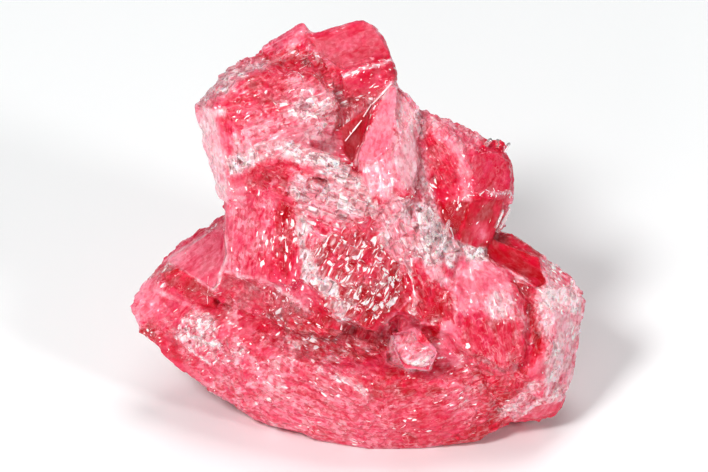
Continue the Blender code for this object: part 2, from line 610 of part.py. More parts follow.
def grow_grains(trees, grains, chooser):
    """Small blocky grains where one crystal meets the next."""
    made = 0
    for direction in directions_all_round(GRAIN_TRIES, chooser):
        aim = CLUSTER_MIDDLE + Vector((chooser.uniform(-11.0, 11.0), 0.0, chooser.uniform(-8.0, 8.0)))
        size = chooser.uniform(*GRAIN_SIZE)
        turn = chooser.uniform(0.0, math.tau)
        lean = chooser.uniform(0.4, 1.2)
        spin = Matrix.Rotation(turn, 3, "Z") @ Matrix.Rotation(lean, 3, "X")
        jitter = [Vector([chooser.uniform(0.6, 1.1) for _ in range(3)]) for _ in range(8)]
        start = (aim + direction * 60.0) * MM
        hit = outermost_hit(trees, start, -direction)
        if hit is None or hit[0].z < (BARE_HEIGHT + 1.0) * MM:
            continue
        across = direction.orthogonal().normalized() * SEAM_REACH * MM
        around = (across, -across, direction.cross(across), -direction.cross(across))
        near = [outermost_hit(trees, start + step, -direction) for step in around]
        if any(other is None for other in near):
            continue
        bend = max(hit[1].angle(other[1]) for other in near)
        recess = sum((other[0] - hit[0]).dot(direction) for other in near) / MM
        if bend < 0.5 or recess < 0.1:
            continue
        corners = []
        for index, factor in enumerate(jitter):
            sign = Vector((1 if index & 1 else -1, 1 if index & 2 else -1, 1 if index & 4 else -1))
            offset = Vector((sign.x * factor.x, sign.y * factor.y * 0.8, sign.z * factor.z * 1.5)) * size * 0.55
            corners.append(hit[0] / SCALE - direction * size * 0.3 + spin @ offset)
        link_helper(crystal_mesh(f"grain_{made}", corners), grains)
        made += 1


def cut_arch_hollow(cutters):
    """The rounded hollow under the arch."""
    middle = front_point(*ARCH_HOLLOW) * SCALE
    frame = Matrix.Rotation(math.radians(90.0 - FACE_LEAN_DEG), 4, "X")
    radii = Matrix.Diagonal((*[radius * SCALE for radius in ARCH_HOLLOW_RADII], 1.0))
    mesh = bpy.data.meshes.new("arch_hollow")
    bm = bmesh.new()
    bmesh.ops.create_icosphere(bm, subdivisions=2, radius=1.0, matrix=Matrix.Translation(middle) @ frame @ radii)
    bm.to_mesh(mesh)
    bm.free()
    link_helper(mesh, cutters)


def collection_boolean(obj, name, operation, collection):
    """A Boolean of an object with every object of a collection."""
    modifier = obj.modifiers.new(name, "BOOLEAN")
    modifier.operation = operation
    modifier.operand_type = "COLLECTION"
    modifier.collection = collection


def stone_material():
    """Pink-red stone with a glassy lustre."""
    material = bpy.data.materials.new("rhodonite")
    material.use_nodes = True
    shader = material.node_tree.nodes["Principled BSDF"]
    shader.inputs["Base Color"].default_value = STONE_COLOUR
    shader.inputs["Roughness"].default_value = STONE_ROUGHNESS
    shader.inputs["Metallic"].default_value = 0.0
    return material


def loose_parts(bm):
    """The separate bodies of a mesh, each as a list of its vertices."""
    left = set(bm.verts)
    parts = []
    while left:
        stack = [left.pop()]
        part = list(stack)
        while stack:
            vertex = stack.pop()
            for edge in vertex.link_edges:
                other = edge.other_vert(vertex)
                if other in left:
                    left.remove(other)
                    stack.append(other)
                    part.append(other)
        parts.append(part)
    return parts


def is_closed(bm):
    """Whether every edge of a mesh has two faces."""
    return all(len(edge.link_faces) == 2 for edge in bm.edges)


def without_splinters(bm):
    """The mesh with its shortest edges welded away, by the widest weld that leaves it closed."""
    for distance in WELD_DISTANCES:
        trial = bm.copy()
        bmesh.ops.remove_doubles(trial, verts=trial.verts, dist=distance * MM)
        bmesh.ops.dissolve_degenerate(trial, dist=distance * MM, edges=trial.edges)
        bmesh.ops.triangulate(trial, faces=trial.faces)
        if is_closed(trial):
            bm.free()
            return trial
        trial.free()
    return bm


def settle_cluster(cluster, anchor):
    """Keep the result of the Booleans as the cluster's own mesh, without splinters, over the origin."""
    depsgraph = bpy.context.evaluated_depsgraph_get()
    mesh = bpy.data.meshes.new_from_object(cluster.evaluated_get(depsgraph))
    bm = bmesh.new()
    bm.from_mesh(mesh)
    bm = without_splinters(bm)
    parts = sorted(loose_parts(bm), key=len)
    for part in parts[:-1]:
        bmesh.ops.delete(bm, geom=part, context="VERTS")
    bmesh.ops.triangulate(bm, faces=bm.faces)
    low = Vector([min(vertex.co[axis] for vertex in bm.verts) for axis in range(3)])
    high = Vector([max(vertex.co[axis] for vertex in bm.verts) for axis in range(3)])
    bm.to_mesh(mesh)
    bm.free()
    cluster.modifiers.clear()
    cluster.data = mesh
    anchor.location = (-(low.x + high.x) / 2, -(low.y + high.y) / 2, -low.z)


def main():
    """Build the cluster."""
    clear_scene()
    growth = new_collection("growing_crystals")
    grains = new_collection("seam_grains")
    cutters = new_collection("cutters")
    specimen = new_collection("rhodonite_specimen")
    anchor = bpy.data.objects.new("standing_point", None)
    specimen.objects.link(anchor)
    grow_crystals(growth)
    trees = crystal_trees(growth)
    chooser = random.Random(SEED)
    break_edges(growth, trees, cutters, chooser)
    break_terraces(trees, cutters, chooser)
    grow_grains(trees, grains, chooser)
    grow_ridges(trees, grains)
    grow_shards(grains)
    cut_arch_hollow(cutters)
    below = Matrix.Translation((0, 0, -GROUND_BLOCK[2] * MM / 2))
    ground = box_cutter("ground", GROUND_BLOCK, below, cutters)
    core = growth.objects["core"]
    cluster = bpy.data.objects.new("rhodonite_cluster", core.data.copy())
    specimen.objects.link(cluster)
    bpy.data.objects.remove(core)
    collection_boolean(cluster, "grown_together", "UNION", growth)
    collection_boolean(cluster, "breaks", "DIFFERENCE", cutters)
    collection_boolean(cluster, "grains_and_ridges", "UNION", grains)
    resting = cluster.modifiers.new("resting_face", "BOOLEAN")
    resting.operation = "DIFFERENCE"
    resting.object = ground
    cluster.data.materials.append(stone_material())
    for collection in (growth, grains, cutters):
        for obj in collection.objects:
            obj.parent = anchor
    cluster.parent = anchor
    settle_cluster(cluster, anchor)


main()
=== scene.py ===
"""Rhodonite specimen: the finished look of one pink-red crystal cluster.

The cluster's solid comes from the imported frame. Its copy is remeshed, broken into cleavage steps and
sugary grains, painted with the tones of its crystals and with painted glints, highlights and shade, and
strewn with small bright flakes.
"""

import logging
import math
from dataclasses import dataclass, field
from enum import Enum
from typing import Sequence

import bmesh
import bpy
import numpy as np
from mathutils import Matrix, Vector
from mathutils.bvhtree import BVHTree


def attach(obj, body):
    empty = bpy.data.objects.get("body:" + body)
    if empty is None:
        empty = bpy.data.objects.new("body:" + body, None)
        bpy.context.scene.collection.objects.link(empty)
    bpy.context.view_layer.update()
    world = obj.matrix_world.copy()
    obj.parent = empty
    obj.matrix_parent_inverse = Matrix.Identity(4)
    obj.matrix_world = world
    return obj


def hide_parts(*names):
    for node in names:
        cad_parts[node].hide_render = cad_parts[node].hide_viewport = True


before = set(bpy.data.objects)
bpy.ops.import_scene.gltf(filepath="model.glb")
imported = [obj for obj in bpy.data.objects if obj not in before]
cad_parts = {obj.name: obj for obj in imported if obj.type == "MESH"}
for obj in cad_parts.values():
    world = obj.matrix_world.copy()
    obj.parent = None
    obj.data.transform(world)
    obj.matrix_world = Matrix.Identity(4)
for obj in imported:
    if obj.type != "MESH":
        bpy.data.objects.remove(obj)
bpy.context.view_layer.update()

LOG = logging.getLogger("rhodonite")
MM = 0.001
STREAK_NAME = "streak"
FAR = 1e9
PHOTO_SCALE = 14.4

Pair = tuple[float, float]
Triple = tuple[float, float, float]


class Tone(Enum):
    """The surface values that patches set and that materials read as attributes."""

    DEEP = "deep"
    PALE = "pale"
    FROST = "frost"
    SMOKE = "smoke"
    ROUGH = "rough"
    SPARKLE = "sparkle"


@dataclass(frozen=True)
class FrontView:
    """Places on the leaning front: across it, up it and out of it, in millimetres."""

    lean_deg: float = 38.0
    base: Pair = (-0.1242, -8.4886)
    scale: float = 0.99379

    @property
    def up(self) -> Vector:
        """The direction up the front."""
        lean = math.radians(self.lean_deg)
        return Vector((0.0, math.sin(lean), math.cos(lean)))

    @property
    def out(self) -> Vector:
        """The direction out of the front."""
        lean = math.radians(self.lean_deg)
        return Vector((0.0, -math.cos(lean), math.sin(lean)))

    def place(self, across: float, up: float, out: float) -> Vector:
        """The place of a point of the front.

        Args:
            across: millimetres to the right of the front's lowest point.
            up: millimetres up the front.
            out: millimetres out of it.

        Returns:
            The place in metres.
        """
        flat = Vector((across, 0.0, 0.0)) + self.up * up + self.out * out
        return (flat * self.scale + Vector((self.base[0], self.base[1], 0.0))) * MM

    def read(self, places: np.ndarray) -> np.ndarray:
        """Front coordinates of places.

        Args:
            places: an array of places in metres, one in a row.

        Returns:
            An array of across, up and out in millimetres.
        """
        moved = places / MM - np.array((self.base[0], self.base[1], 0.0))
        moved = moved / self.scale
        return np.stack((moved[:, 0], moved @ np.array(self.up), moved @ np.array(self.out)), axis=1)


FRONT = FrontView()


def smooth_step(low: float, high: float, value: np.ndarray) -> np.ndarray:
    """A smooth rise from 0 at low to 1 at high."""
    share = np.clip((value - low) / (high - low), 0.0, 1.0)
    return share * share * (3.0 - 2.0 * share)


def lattice_random(corners: np.ndarray, seed: int) -> np.ndarray:
    """A repeatable random number for each whole-number place.

    Args:
        corners: whole numbers, three in a row.
        seed: which set of random numbers.

    Returns:
        Numbers from 0 to 1.
    """
    mask = np.int64(0xFFFFFFFF)
    mixed = corners[:, 0] * 374761393 + corners[:, 1] * 668265263 + corners[:, 2] * 2147483647
    mixed = (mixed + seed * 1274126177) & mask
    mixed = ((mixed ^ (mixed >> 13)) * 1274126177) & mask
    mixed = ((mixed ^ (mixed >> 16)) * 2246822519) & mask
    mixed = mixed ^ (mixed >> 15)
    return (mixed & mask).astype(np.float64) / float(mask)


def value_noise(places: np.ndarray, size: float, seed: int) -> np.ndarray:
    """Smooth noise from 0 to 1.

    Args:
        places: places in millimetres, three in a row.
        size: the width of its lumps in millimetres.
        seed: which pattern.

    Returns:
        One value a place.
    """
    scaled = places / size
    base = np.floor(scaled).astype(np.int64)
    share = scaled - base
    share = share * share * (3.0 - 2.0 * share)
    total = np.zeros(len(places))
    for corner in range(8):
        step = np.array((corner & 1, (corner >> 1) & 1, (corner >> 2) & 1))
        weight = np.prod(np.where(step == 1, share, 1.0 - share), axis=1)
        total += weight * lattice_random(base + step, seed)
    return total


def layered_noise(places: np.ndarray, size: float, layers: int, seed: int) -> np.ndarray:
    """Value noise in layers, each half as wide and half as strong as the last.

    Args:
        places: places in millimetres, three in a row.
        size: the width of the widest lumps in millimetres.
        layers: how many layers.
        seed: which pattern.

    Returns:
        One value from 0 to 1 a place.
    """
    total, weight, sum_of_weights = np.zeros(len(places)), 1.0, 0.0
    for layer in range(layers):
        total += weight * value_noise(places, size / 2 ** layer, seed + layer)
        sum_of_weights += weight
        weight *= 0.5
    return total / sum_of_weights


@dataclass
class Cells:
    """What each place knows of the crystal cell that it lies in."""

    random: np.ndarray
    offset: np.ndarray


def crystal_cells(places: np.ndarray, size: float, seed: int) -> Cells:
    """Cells about the nearest of many scattered points.

    Args:
        places: places in millimetres, three in a row.
        size: the usual width of a cell.
        seed: which pattern.

    Returns:
        Each place's three random numbers, and its offset from the cell's point.
    """
    scaled = places / size
    base = np.floor(scaled).astype(np.int64)
    nearest = np.full(len(places), FAR)
    home = np.zeros((len(places), 3), dtype=np.int64)
    offset = np.zeros((len(places), 3))
    for index in range(27):
        step = np.array((index % 3 - 1, index // 3 % 3 - 1, index // 9 - 1))
        cell = base + step
        jitter = np.stack([lattice_random(cell, seed + 31 * axis) for axis in range(3)], axis=1)
        away = scaled - cell - jitter
        distance = np.einsum("ij,ij->i", away, away)
        closer = distance < nearest
        nearest = np.where(closer, distance, nearest)
        home[closer] = cell[closer]
        offset[closer] = away[closer]
    random = np.stack([lattice_random(home, seed + 101 + axis) for axis in range(3)], axis=1)
    return Cells(random, offset * size)


def path_distance(path: Sequence[Pair], across: np.ndarray, up: np.ndarray) -> np.ndarray:
    """How far places lie from a line of straight runs.

    Args:
        path: the line's points (across, up).
        across: places across the front.
        up: places up the front.

    Returns:
        Distances in millimetres.
    """
    distance = np.full(len(across), FAR)
    for (x0, y0), (x1, y1) in zip(path, path[1:]):
        run, rise = x1 - x0, y1 - y0
        share = ((across - x0) * run + (up - y0) * rise) / (run * run + rise * rise)
        share = np.clip(share, 0.0, 1.0)
        distance = np.minimum(distance, np.hypot(across - x0 - share * run, up - y0 - share * rise))
    return distance


def neighbour_sums(places: np.ndarray, first: np.ndarray, second: np.ndarray) -> np.ndarray:
    """The sum of each vertex's neighbours.

    Args:
        places: the vertices.
        first: each edge's first vertex.
        second: each edge's second vertex.

    Returns:
        One sum of places a vertex.
    """
    count = len(places)
    return np.stack([
        np.bincount(first, places[second, axis], count) + np.bincount(second, places[first, axis], count)
        for axis in range(3)
    ], axis=1)


def neighbour_counts(count: int, first: np.ndarray, second: np.ndarray) -> np.ndarray:
    """How many neighbours each vertex has, at least one."""
    links = np.bincount(first, minlength=count) + np.bincount(second, minlength=count)
    return np.maximum(links, 1)[:, None]


@dataclass(frozen=True)
class Patch:
    """A part of the front with a tone of its own, outlined by points (across, up)."""

    name: str
    outline: tuple[Pair, ...]
    deep: float = 0.0
    pale: float = 0.0
    frost: float = 0.0
    smoke: float = 0.0
    rough: float | None = None
    sparkle: float = 0.0
    soft: float = 0.35

    def cover(self, across: np.ndarray, up: np.ndarray) -> np.ndarray:
        """How far each place lies in the patch.

        Args:
            across: places across the front.
            up: places up the front.

        Returns:
            1 well inside the outline, 0 well outside.
        """
        ring = (*self.outline, self.outline[0])
        distance = path_distance(ring, across, up)
        inside = np.zeros(len(across), dtype=bool)
        for (x0, y0), (x1, y1) in zip(ring, ring[1:]):
            rise = y1 - y0
            crosses = (y0 > up) != (y1 > up)
            level = np.where(crosses, (up - y0) / (rise if rise else 1.0), 0.0)
            inside ^= crosses & (across < x0 + level * (x1 - x0))
        signed = np.where(inside, distance, -distance)
        return smooth_step(-self.soft, self.soft, signed)


@dataclass(frozen=True)
class Vein:
    """A line on the front, such as a crest, a white arm or a crevice."""

    name: str
    path: tuple[Pair, ...]
    width: float
    lift: float = 0.0
    torn: float = 0.75
    deep: float = 0.0
    pale: float = 0.0
    frost: float = 0.0
    smoke: float = 0.0
    rough: float | None = None
    sparkle: float = 0.0

    def cover(self, across: np.ndarray, up: np.ndarray) -> np.ndarray:
        """How near each place is to the line.

        Args:
            across: places across the front.
            up: places up the front.

        Returns:
            1 on the line, 0 beyond its width.
        """
        distance = path_distance(self.path, across, up)
        return 1.0 - smooth_step(self.width * 0.25, self.width, distance)


@dataclass(frozen=True)
class CrystalDomain:
    """A crystal's own cleavage: the direction of its streaks on the front, and its steps."""

    name: str
    centre: Pair
    streak_deg: float
    step: float
    strength: float


PATCHES: tuple[Patch, ...] = (
    Patch("shoulder_side", ((-11.5, 23.7), (-10.0, 24.1), (-9.7, 22.9), (-9.2, 21.3), (-8.9, 18.5),
        (-8.8, 17.2), (-9.9, 17.6), (-10.5, 20.4)), pale=0.72, frost=0.15, smoke=0.2, rough=0.15),
    Patch("shoulder_chipped_edge", ((-11.4, 24.2), (-9.1, 26.7), (-7.0, 27.7), (-5.6, 27.1), (-7.4, 26.1),
        (-9.2, 24.8), (-10.2, 23.6)), smoke=0.6, frost=0.3, rough=0.55, sparkle=0.4),
    Patch("shoulder_upper", ((-9.5, 24.5), (-7.2, 26.4), (-4.8, 26.0), (-3.6, 24.6), (-5.2, 23.4),
        (-7.2, 22.9), (-8.8, 21.8), (-9.5, 22.5)), deep=0.62, rough=0.4, sparkle=0.3),
    Patch("shoulder_lower", ((-8.8, 21.8), (-7.0, 23.0), (-5.0, 23.4), (-4.4, 21.6), (-8.2, 20.2)),
        pale=0.5, frost=0.3, rough=0.6),
    Patch("shoulder_sparkle", ((-4.9, 25.2), (-2.6, 25.5), (-1.2, 24.7), (-1.1, 22.8), (-2.4, 21.9),
        (-4.8, 22.6)), pale=0.5, frost=0.3, smoke=0.1, rough=0.8, sparkle=0.8, soft=0.9),
    Patch("crown_recess", ((-6.9, 27.5), (-3.9, 28.3), (-2.6, 27.6), (-0.9, 25.9), (-1.6, 25.3),
        (-3.6, 26.1), (-5.4, 26.8)), deep=0.7, rough=0.55, sparkle=0.3),
    Patch("crown_face", ((-3.6, 29.3), (-0.5, 30.2), (1.2, 30.2), (2.6, 28.0), (2.3, 27.3), (-0.8, 26.5),
        (-2.6, 27.6)), deep=0.5, rough=0.06, sparkle=0.05),
    Patch("crown_glow", ((0.1, 30.2), (1.4, 29.7), (2.4, 28.1), (1.5, 28.3), (0.2, 29.3)), pale=0.35),
    Patch("peak", ((-5.7, 28.8), (-3.8, 30.1), (-3.2, 29.0), (-3.9, 28.3), (-5.3, 27.9)), pale=0.5,
        rough=0.25),
    Patch("crown_foot", ((-0.9, 25.9), (1.0, 26.6), (2.8, 27.2), (3.3, 26.2), (2.8, 25.6), (1.3, 24.6),
        (-0.6, 24.6), (-1.2, 25.2)), deep=0.62, rough=0.15, sparkle=0.3),
    Patch("recess_slope", ((-1.6, 25.3), (0.9, 25.0), (1.4, 24.3), (-0.9, 21.9), (-1.8, 22.6)), deep=0.85,
        smoke=0.32, rough=0.5, sparkle=0.55, soft=0.5),
    Patch("shoulder_deep", ((-7.3, 26.0), (-5.2, 26.3), (-4.5, 25.0), (-5.6, 24.2), (-7.0, 24.5)),
        deep=0.9, smoke=0.35, rough=0.4, sparkle=0.3, soft=0.6),
    Patch("shoulder_smoky", ((-5.6, 22.5), (-3.4, 23.0), (-1.5, 22.2), (-1.2, 21.3), (-4.6, 21.3),
        (-7.0, 20.8)), smoke=0.3, pale=0.4, rough=0.3, soft=0.5),
    Patch("recess_triangle", ((1.2, 24.2), (-1.2, 22.4), (-0.8, 20.6), (-0.1, 19.9), (0.4, 21.4)),
        deep=0.7, smoke=0.15, rough=0.15),
    Patch("wedge_left", ((3.05, 25.6), (2.5, 25.6), (0.3, 21.0), (0.1, 20.2), (1.0, 18.0), (2.4, 19.4),
        (2.7, 22.0), (2.9, 24.6)), pale=0.55, frost=0.12, rough=0.2),
    Patch("wedge_right", ((3.1, 25.4), (4.4, 24.1), (4.5, 20.0), (4.0, 18.0), (2.6, 18.6), (2.8, 22.0)),
        pale=0.7, frost=0.35, smoke=0.15, rough=0.35),
    Patch("groove", ((4.2, 24.1), (5.0, 23.7), (5.0, 20.0), (5.6, 17.0), (4.6, 16.6), (4.4, 19.5)),
        smoke=0.45, pale=0.45, frost=0.3, rough=0.6),
    Patch("frosted_shelf", ((-7.4, 20.4), (-6.0, 21.9), (-3.6, 22.3), (-1.0, 21.6), (-0.9, 20.6),
        (-2.0, 20.1), (-4.6, 20.9)), pale=0.35, smoke=0.42, frost=0.25, rough=0.2),
    # The cavity under the arch: deep crimson, partly the crystal's colour and partly painted shade.
    Patch("arch_hollow", ((-7.9, 18.9), (-7.2, 19.7), (-5.6, 19.8), (-4.5, 19.0), (-5.0, 18.2),
        (-7.2, 18.1)), deep=0.75, smoke=0.12, rough=0.4),
    Patch("under_arch", ((-4.4, 19.6), (-1.0, 18.6), (0.8, 16.4), (0.0, 15.4), (-3.4, 16.6), (-4.6, 18.0)),
        frost=0.45, pale=0.45, rough=0.85, sparkle=0.5),
    Patch("panel", ((-9.0, 17.4), (-8.9, 12.8), (-4.9, 11.8), (-4.0, 17.4), (-5.5, 18.0), (-8.0, 18.0)),
        deep=0.42, rough=0.18, sparkle=0.2),
    Patch("panel_left", ((-9.4, 17.6), (-7.9, 17.6), (-8.1, 12.6), (-9.2, 12.4)), pale=0.5, rough=0.2),
    Patch("panel_cloud", ((-7.9, 17.4), (-5.4, 17.6), (-5.9, 16.0), (-7.6, 15.4)), pale=0.4, rough=0.3),
    Patch("panel_deep", ((-5.3, 17.2), (-3.8, 16.8), (-3.6, 14.4), (-4.6, 12.6), (-5.9, 14.2)), deep=0.85,
        rough=0.4, sparkle=0.45, soft=0.7),
    Patch("panel_spots", ((-7.0, 13.9), (-5.9, 16.0), (-4.8, 15.9), (-4.6, 13.6), (-6.0, 12.6)),
        sparkle=0.5, deep=0.5, soft=0.6),
    Patch("wing_rim", ((-16.2, 10.3), (-13.0, 14.0), (-9.0, 16.8), (-9.4, 15.6), (-13.2, 12.8),
        (-15.2, 10.4)), deep=0.2, pale=0.25, rough=0.2),
    Patch("wing_face", ((-13.2, 13.4), (-9.2, 16.1), (-8.9, 13.8), (-9.8, 11.2), (-12.6, 12.9)), deep=0.3,
        pale=0.12, rough=0.05, soft=0.15),
    Patch("wing_face_pale", ((-13.3, 13.3), (-12.3, 13.9), (-11.4, 12.5), (-12.7, 12.9)), pale=0.55,
        rough=0.1),
    Patch("wing_band", ((-13.6, 12.5), (-12.6, 12.8), (-9.9, 11.0), (-9.8, 9.8), (-11.4, 10.2),
        (-13.0, 11.6)), deep=0.72, rough=0.25, soft=0.3),
    Patch("wing_lower", ((-14.6, 10.6), (-12.6, 11.4), (-10.4, 10.0), (-11.4, 8.9), (-14.2, 8.4)),
        deep=0.25, pale=0.28, rough=0.2),
    Patch("wing_tip", ((-16.3, 10.2), (-14.8, 12.0), (-13.6, 11.6), (-13.9, 9.6), (-15.6, 8.2)), pale=0.75,
        rough=0.15),
    Patch("wing_glints", ((-13.0, 8.4), (-11.4, 9.7), (-9.6, 9.1), (-9.9, 7.6), (-11.8, 7.0)), frost=0.45,
        rough=0.8, sparkle=0.9),
    Patch("keel", ((-12.0, 6.6), (-7.6, 7.6), (-2.0, 6.2), (4.0, 4.8), (8.4, 5.2), (9.4, 2.4), (5.0, -0.6),
        (-2.0, -0.4), (-9.0, 2.6)), deep=0.36, pale=0.3, rough=0.4, sparkle=0.2, soft=0.9),
    Patch("keel_low_left", ((-8.0, 3.4), (-4.0, 3.6), (-2.0, 0.2), (-6.0, 1.4)), pale=0.35, rough=0.4,
        sparkle=0.2, soft=0.8),
    Patch("keel_low_right", ((2.0, 2.2), (6.0, 2.6), (8.6, 1.2), (4.0, -0.2)), deep=0.55, rough=0.3,
        sparkle=0.25, soft=0.8),
    Patch("keel_glints", ((-11.2, 7.4), (-8.8, 8.2), (-7.4, 6.8), (-8.6, 5.8), (-10.6, 6.0)), frost=0.25,
        rough=0.75, sparkle=0.6),
    # The hollow under the panel: deep crimson and grey, partly the crystal's colour and partly painted shade.
    Patch("recess_dark", ((-9.3, 12.4), (-6.6, 12.1), (-6.3, 10.2), (-8.8, 9.8)), deep=0.95, smoke=0.45,
        rough=0.4, sparkle=0.15),
    Patch("recess_middle", ((-6.4, 11.6), (-4.4, 11.0), (-3.2, 9.4), (-4.8, 8.2), (-6.8, 9.4)), deep=0.85,
        smoke=0.3, rough=0.5, sparkle=0.35),
    Patch("hump_rim", ((-3.4, 15.4), (1.0, 16.6), (3.8, 14.4), (4.0, 12.4), (1.6, 14.6), (-1.0, 15.4)),
        deep=0.45, rough=0.6, sparkle=0.4),
    Patch("hump", ((-3.5, 14.6), (-1.0, 15.6), (1.6, 14.9), (3.2, 13.0), (3.2, 10.2), (1.0, 8.8),
        (-1.2, 9.2), (-3.2, 11.8)), deep=1.0, rough=0.55, sparkle=0.9),
    Patch("hump_glints", ((-1.7, 14.2), (0.4, 14.8), (2.2, 13.6), (1.9, 12.0), (0.4, 11.6), (-0.4, 9.6),
        (-1.6, 9.4), (-1.6, 11.4)), frost=0.12, rough=0.6, sparkle=1.0, deep=0.8),
    # Under the hump: deep crimson and grey, partly the crystal's colour and partly painted shade.
    Patch("under_hump", ((-1.8, 9.0), (1.6, 8.5), (2.6, 7.4), (0.4, 6.2), (-2.2, 7.0)), deep=1.0,
        smoke=0.2, rough=0.6, sparkle=0.55),
    Patch("plate_shadow", ((1.2, 5.3), (3.3, 5.3), (5.0, 5.0), (6.0, 4.2), (3.6, 3.4), (1.2, 3.9)),
        deep=0.85),
    Patch("spur_frost", ((4.0, 17.1), (5.6, 16.9), (7.1, 14.2), (6.9, 12.8), (5.0, 12.9), (4.1, 14.4)),
        frost=0.8, smoke=0.42, rough=1.0, sparkle=0.5),
    Patch("middle_pale", ((1.6, 17.2), (4.2, 17.4), (4.4, 13.6), (3.4, 12.4), (1.8, 15.0)), pale=0.6,
        frost=0.4, rough=0.8, sparkle=0.4),
    Patch("dark_triangle", ((4.7, 9.0), (6.9, 9.4), (6.9, 11.2), (5.2, 12.0)), deep=0.72, rough=0.5),
    Patch("right_body_upper", ((6.9, 13.4), (9.1, 13.6), (10.6, 12.6), (11.2, 11.2), (11.7, 10.0),
        (9.4, 9.3), (7.1, 9.8)), pale=0.45, frost=0.1, rough=0.15, sparkle=0.1, soft=0.8),
    Patch("right_body_frost", ((9.0, 11.8), (10.6, 11.5), (11.3, 9.9), (12.1, 8.7), (10.4, 8.8),
        (9.3, 9.7)), pale=1.0, frost=0.5, rough=0.6, sparkle=0.7, soft=0.5),
    Patch("right_body_lower", ((7.1, 9.6), (9.4, 9.2), (11.8, 9.6), (11.9, 6.3), (9.9, 5.5), (7.3, 7.0)),
        deep=0.66, rough=0.5, sparkle=0.3),
    Patch("small_crystal", ((9.0, 14.2), (9.8, 15.2), (11.1, 15.3), (13.3, 13.6), (13.4, 11.9),
        (12.7, 11.5), (10.9, 12.4), (9.7, 13.2)), deep=1.0, rough=0.03, soft=0.2),
    Patch("small_crystal_end", ((13.2, 13.8), (15.4, 12.2), (15.0, 11.3), (13.3, 11.5), (13.4, 12.6)),
        pale=0.6, frost=0.3, rough=0.4),
    Patch("corner", ((12.9, 11.2), (15.3, 12.1), (16.3, 10.4), (16.1, 8.6), (15.5, 5.0), (15.1, 3.6),
        (13.2, 4.8), (13.3, 8.2), (12.6, 10.4)), pale=1.0, frost=0.55, rough=0.45, sparkle=0.45),
    Patch("corner_facet", ((13.7, 10.0), (15.8, 9.2), (15.3, 6.5), (14.2, 7.4)), pale=0.3, rough=0.15),
    Patch("corner_red", ((12.7, 8.6), (14.0, 8.0), (13.8, 6.4), (12.4, 6.0)), deep=0.6),
    Patch("foot_pale", ((10.2, 2.4), (12.0, 4.6), (15.0, 5.0), (15.0, 3.6), (11.6, 2.2)), pale=0.55,
        frost=0.35, rough=0.6, sparkle=0.3),
    Patch("foot_facet", ((11.3, 1.7), (14.8, 3.6), (14.4, 1.9), (12.8, 1.6)), deep=0.3, rough=0.1),
    Patch("right_shoulder_top", ((4.8, 23.9), (9.0, 21.8), (8.2, 20.8), (5.4, 22.2)), pale=0.45,
        frost=0.25, rough=0.5),
    Patch("right_shoulder_red", ((4.9, 21.4), (6.2, 22.2), (7.3, 19.8), (6.8, 17.9), (5.2, 19.2)),
        deep=0.85, rough=0.4, sparkle=0.2),
    Patch("right_shoulder_face", ((8.0, 21.3), (10.8, 21.2), (11.3, 19.4), (11.2, 17.9), (8.3, 17.8)),
        deep=0.5, rough=0.2),
    Patch("right_foot_deep", ((5.6, 17.4), (8.1, 17.3), (8.2, 15.3), (6.6, 15.0)), deep=1.0, rough=0.08),
    Patch("right_foot_face", ((8.1, 17.5), (10.8, 17.7), (10.3, 15.8), (9.2, 14.2), (7.5, 14.3),
        (8.2, 15.6)), deep=0.78, rough=0.12),
    Patch("crevice_red", ((11.1, 12.4), (12.2, 11.4), (13.0, 10.2), (12.9, 8.6), (12.3, 8.7), (11.6, 10.2),
        (10.9, 11.6)), deep=1.0, rough=0.3, sparkle=0.3, soft=0.2),
    Patch("grey_ledge", ((7.0, 14.4), (9.3, 14.2), (9.3, 13.3), (7.0, 13.3)), frost=0.65, smoke=0.4,
        rough=0.9),
)

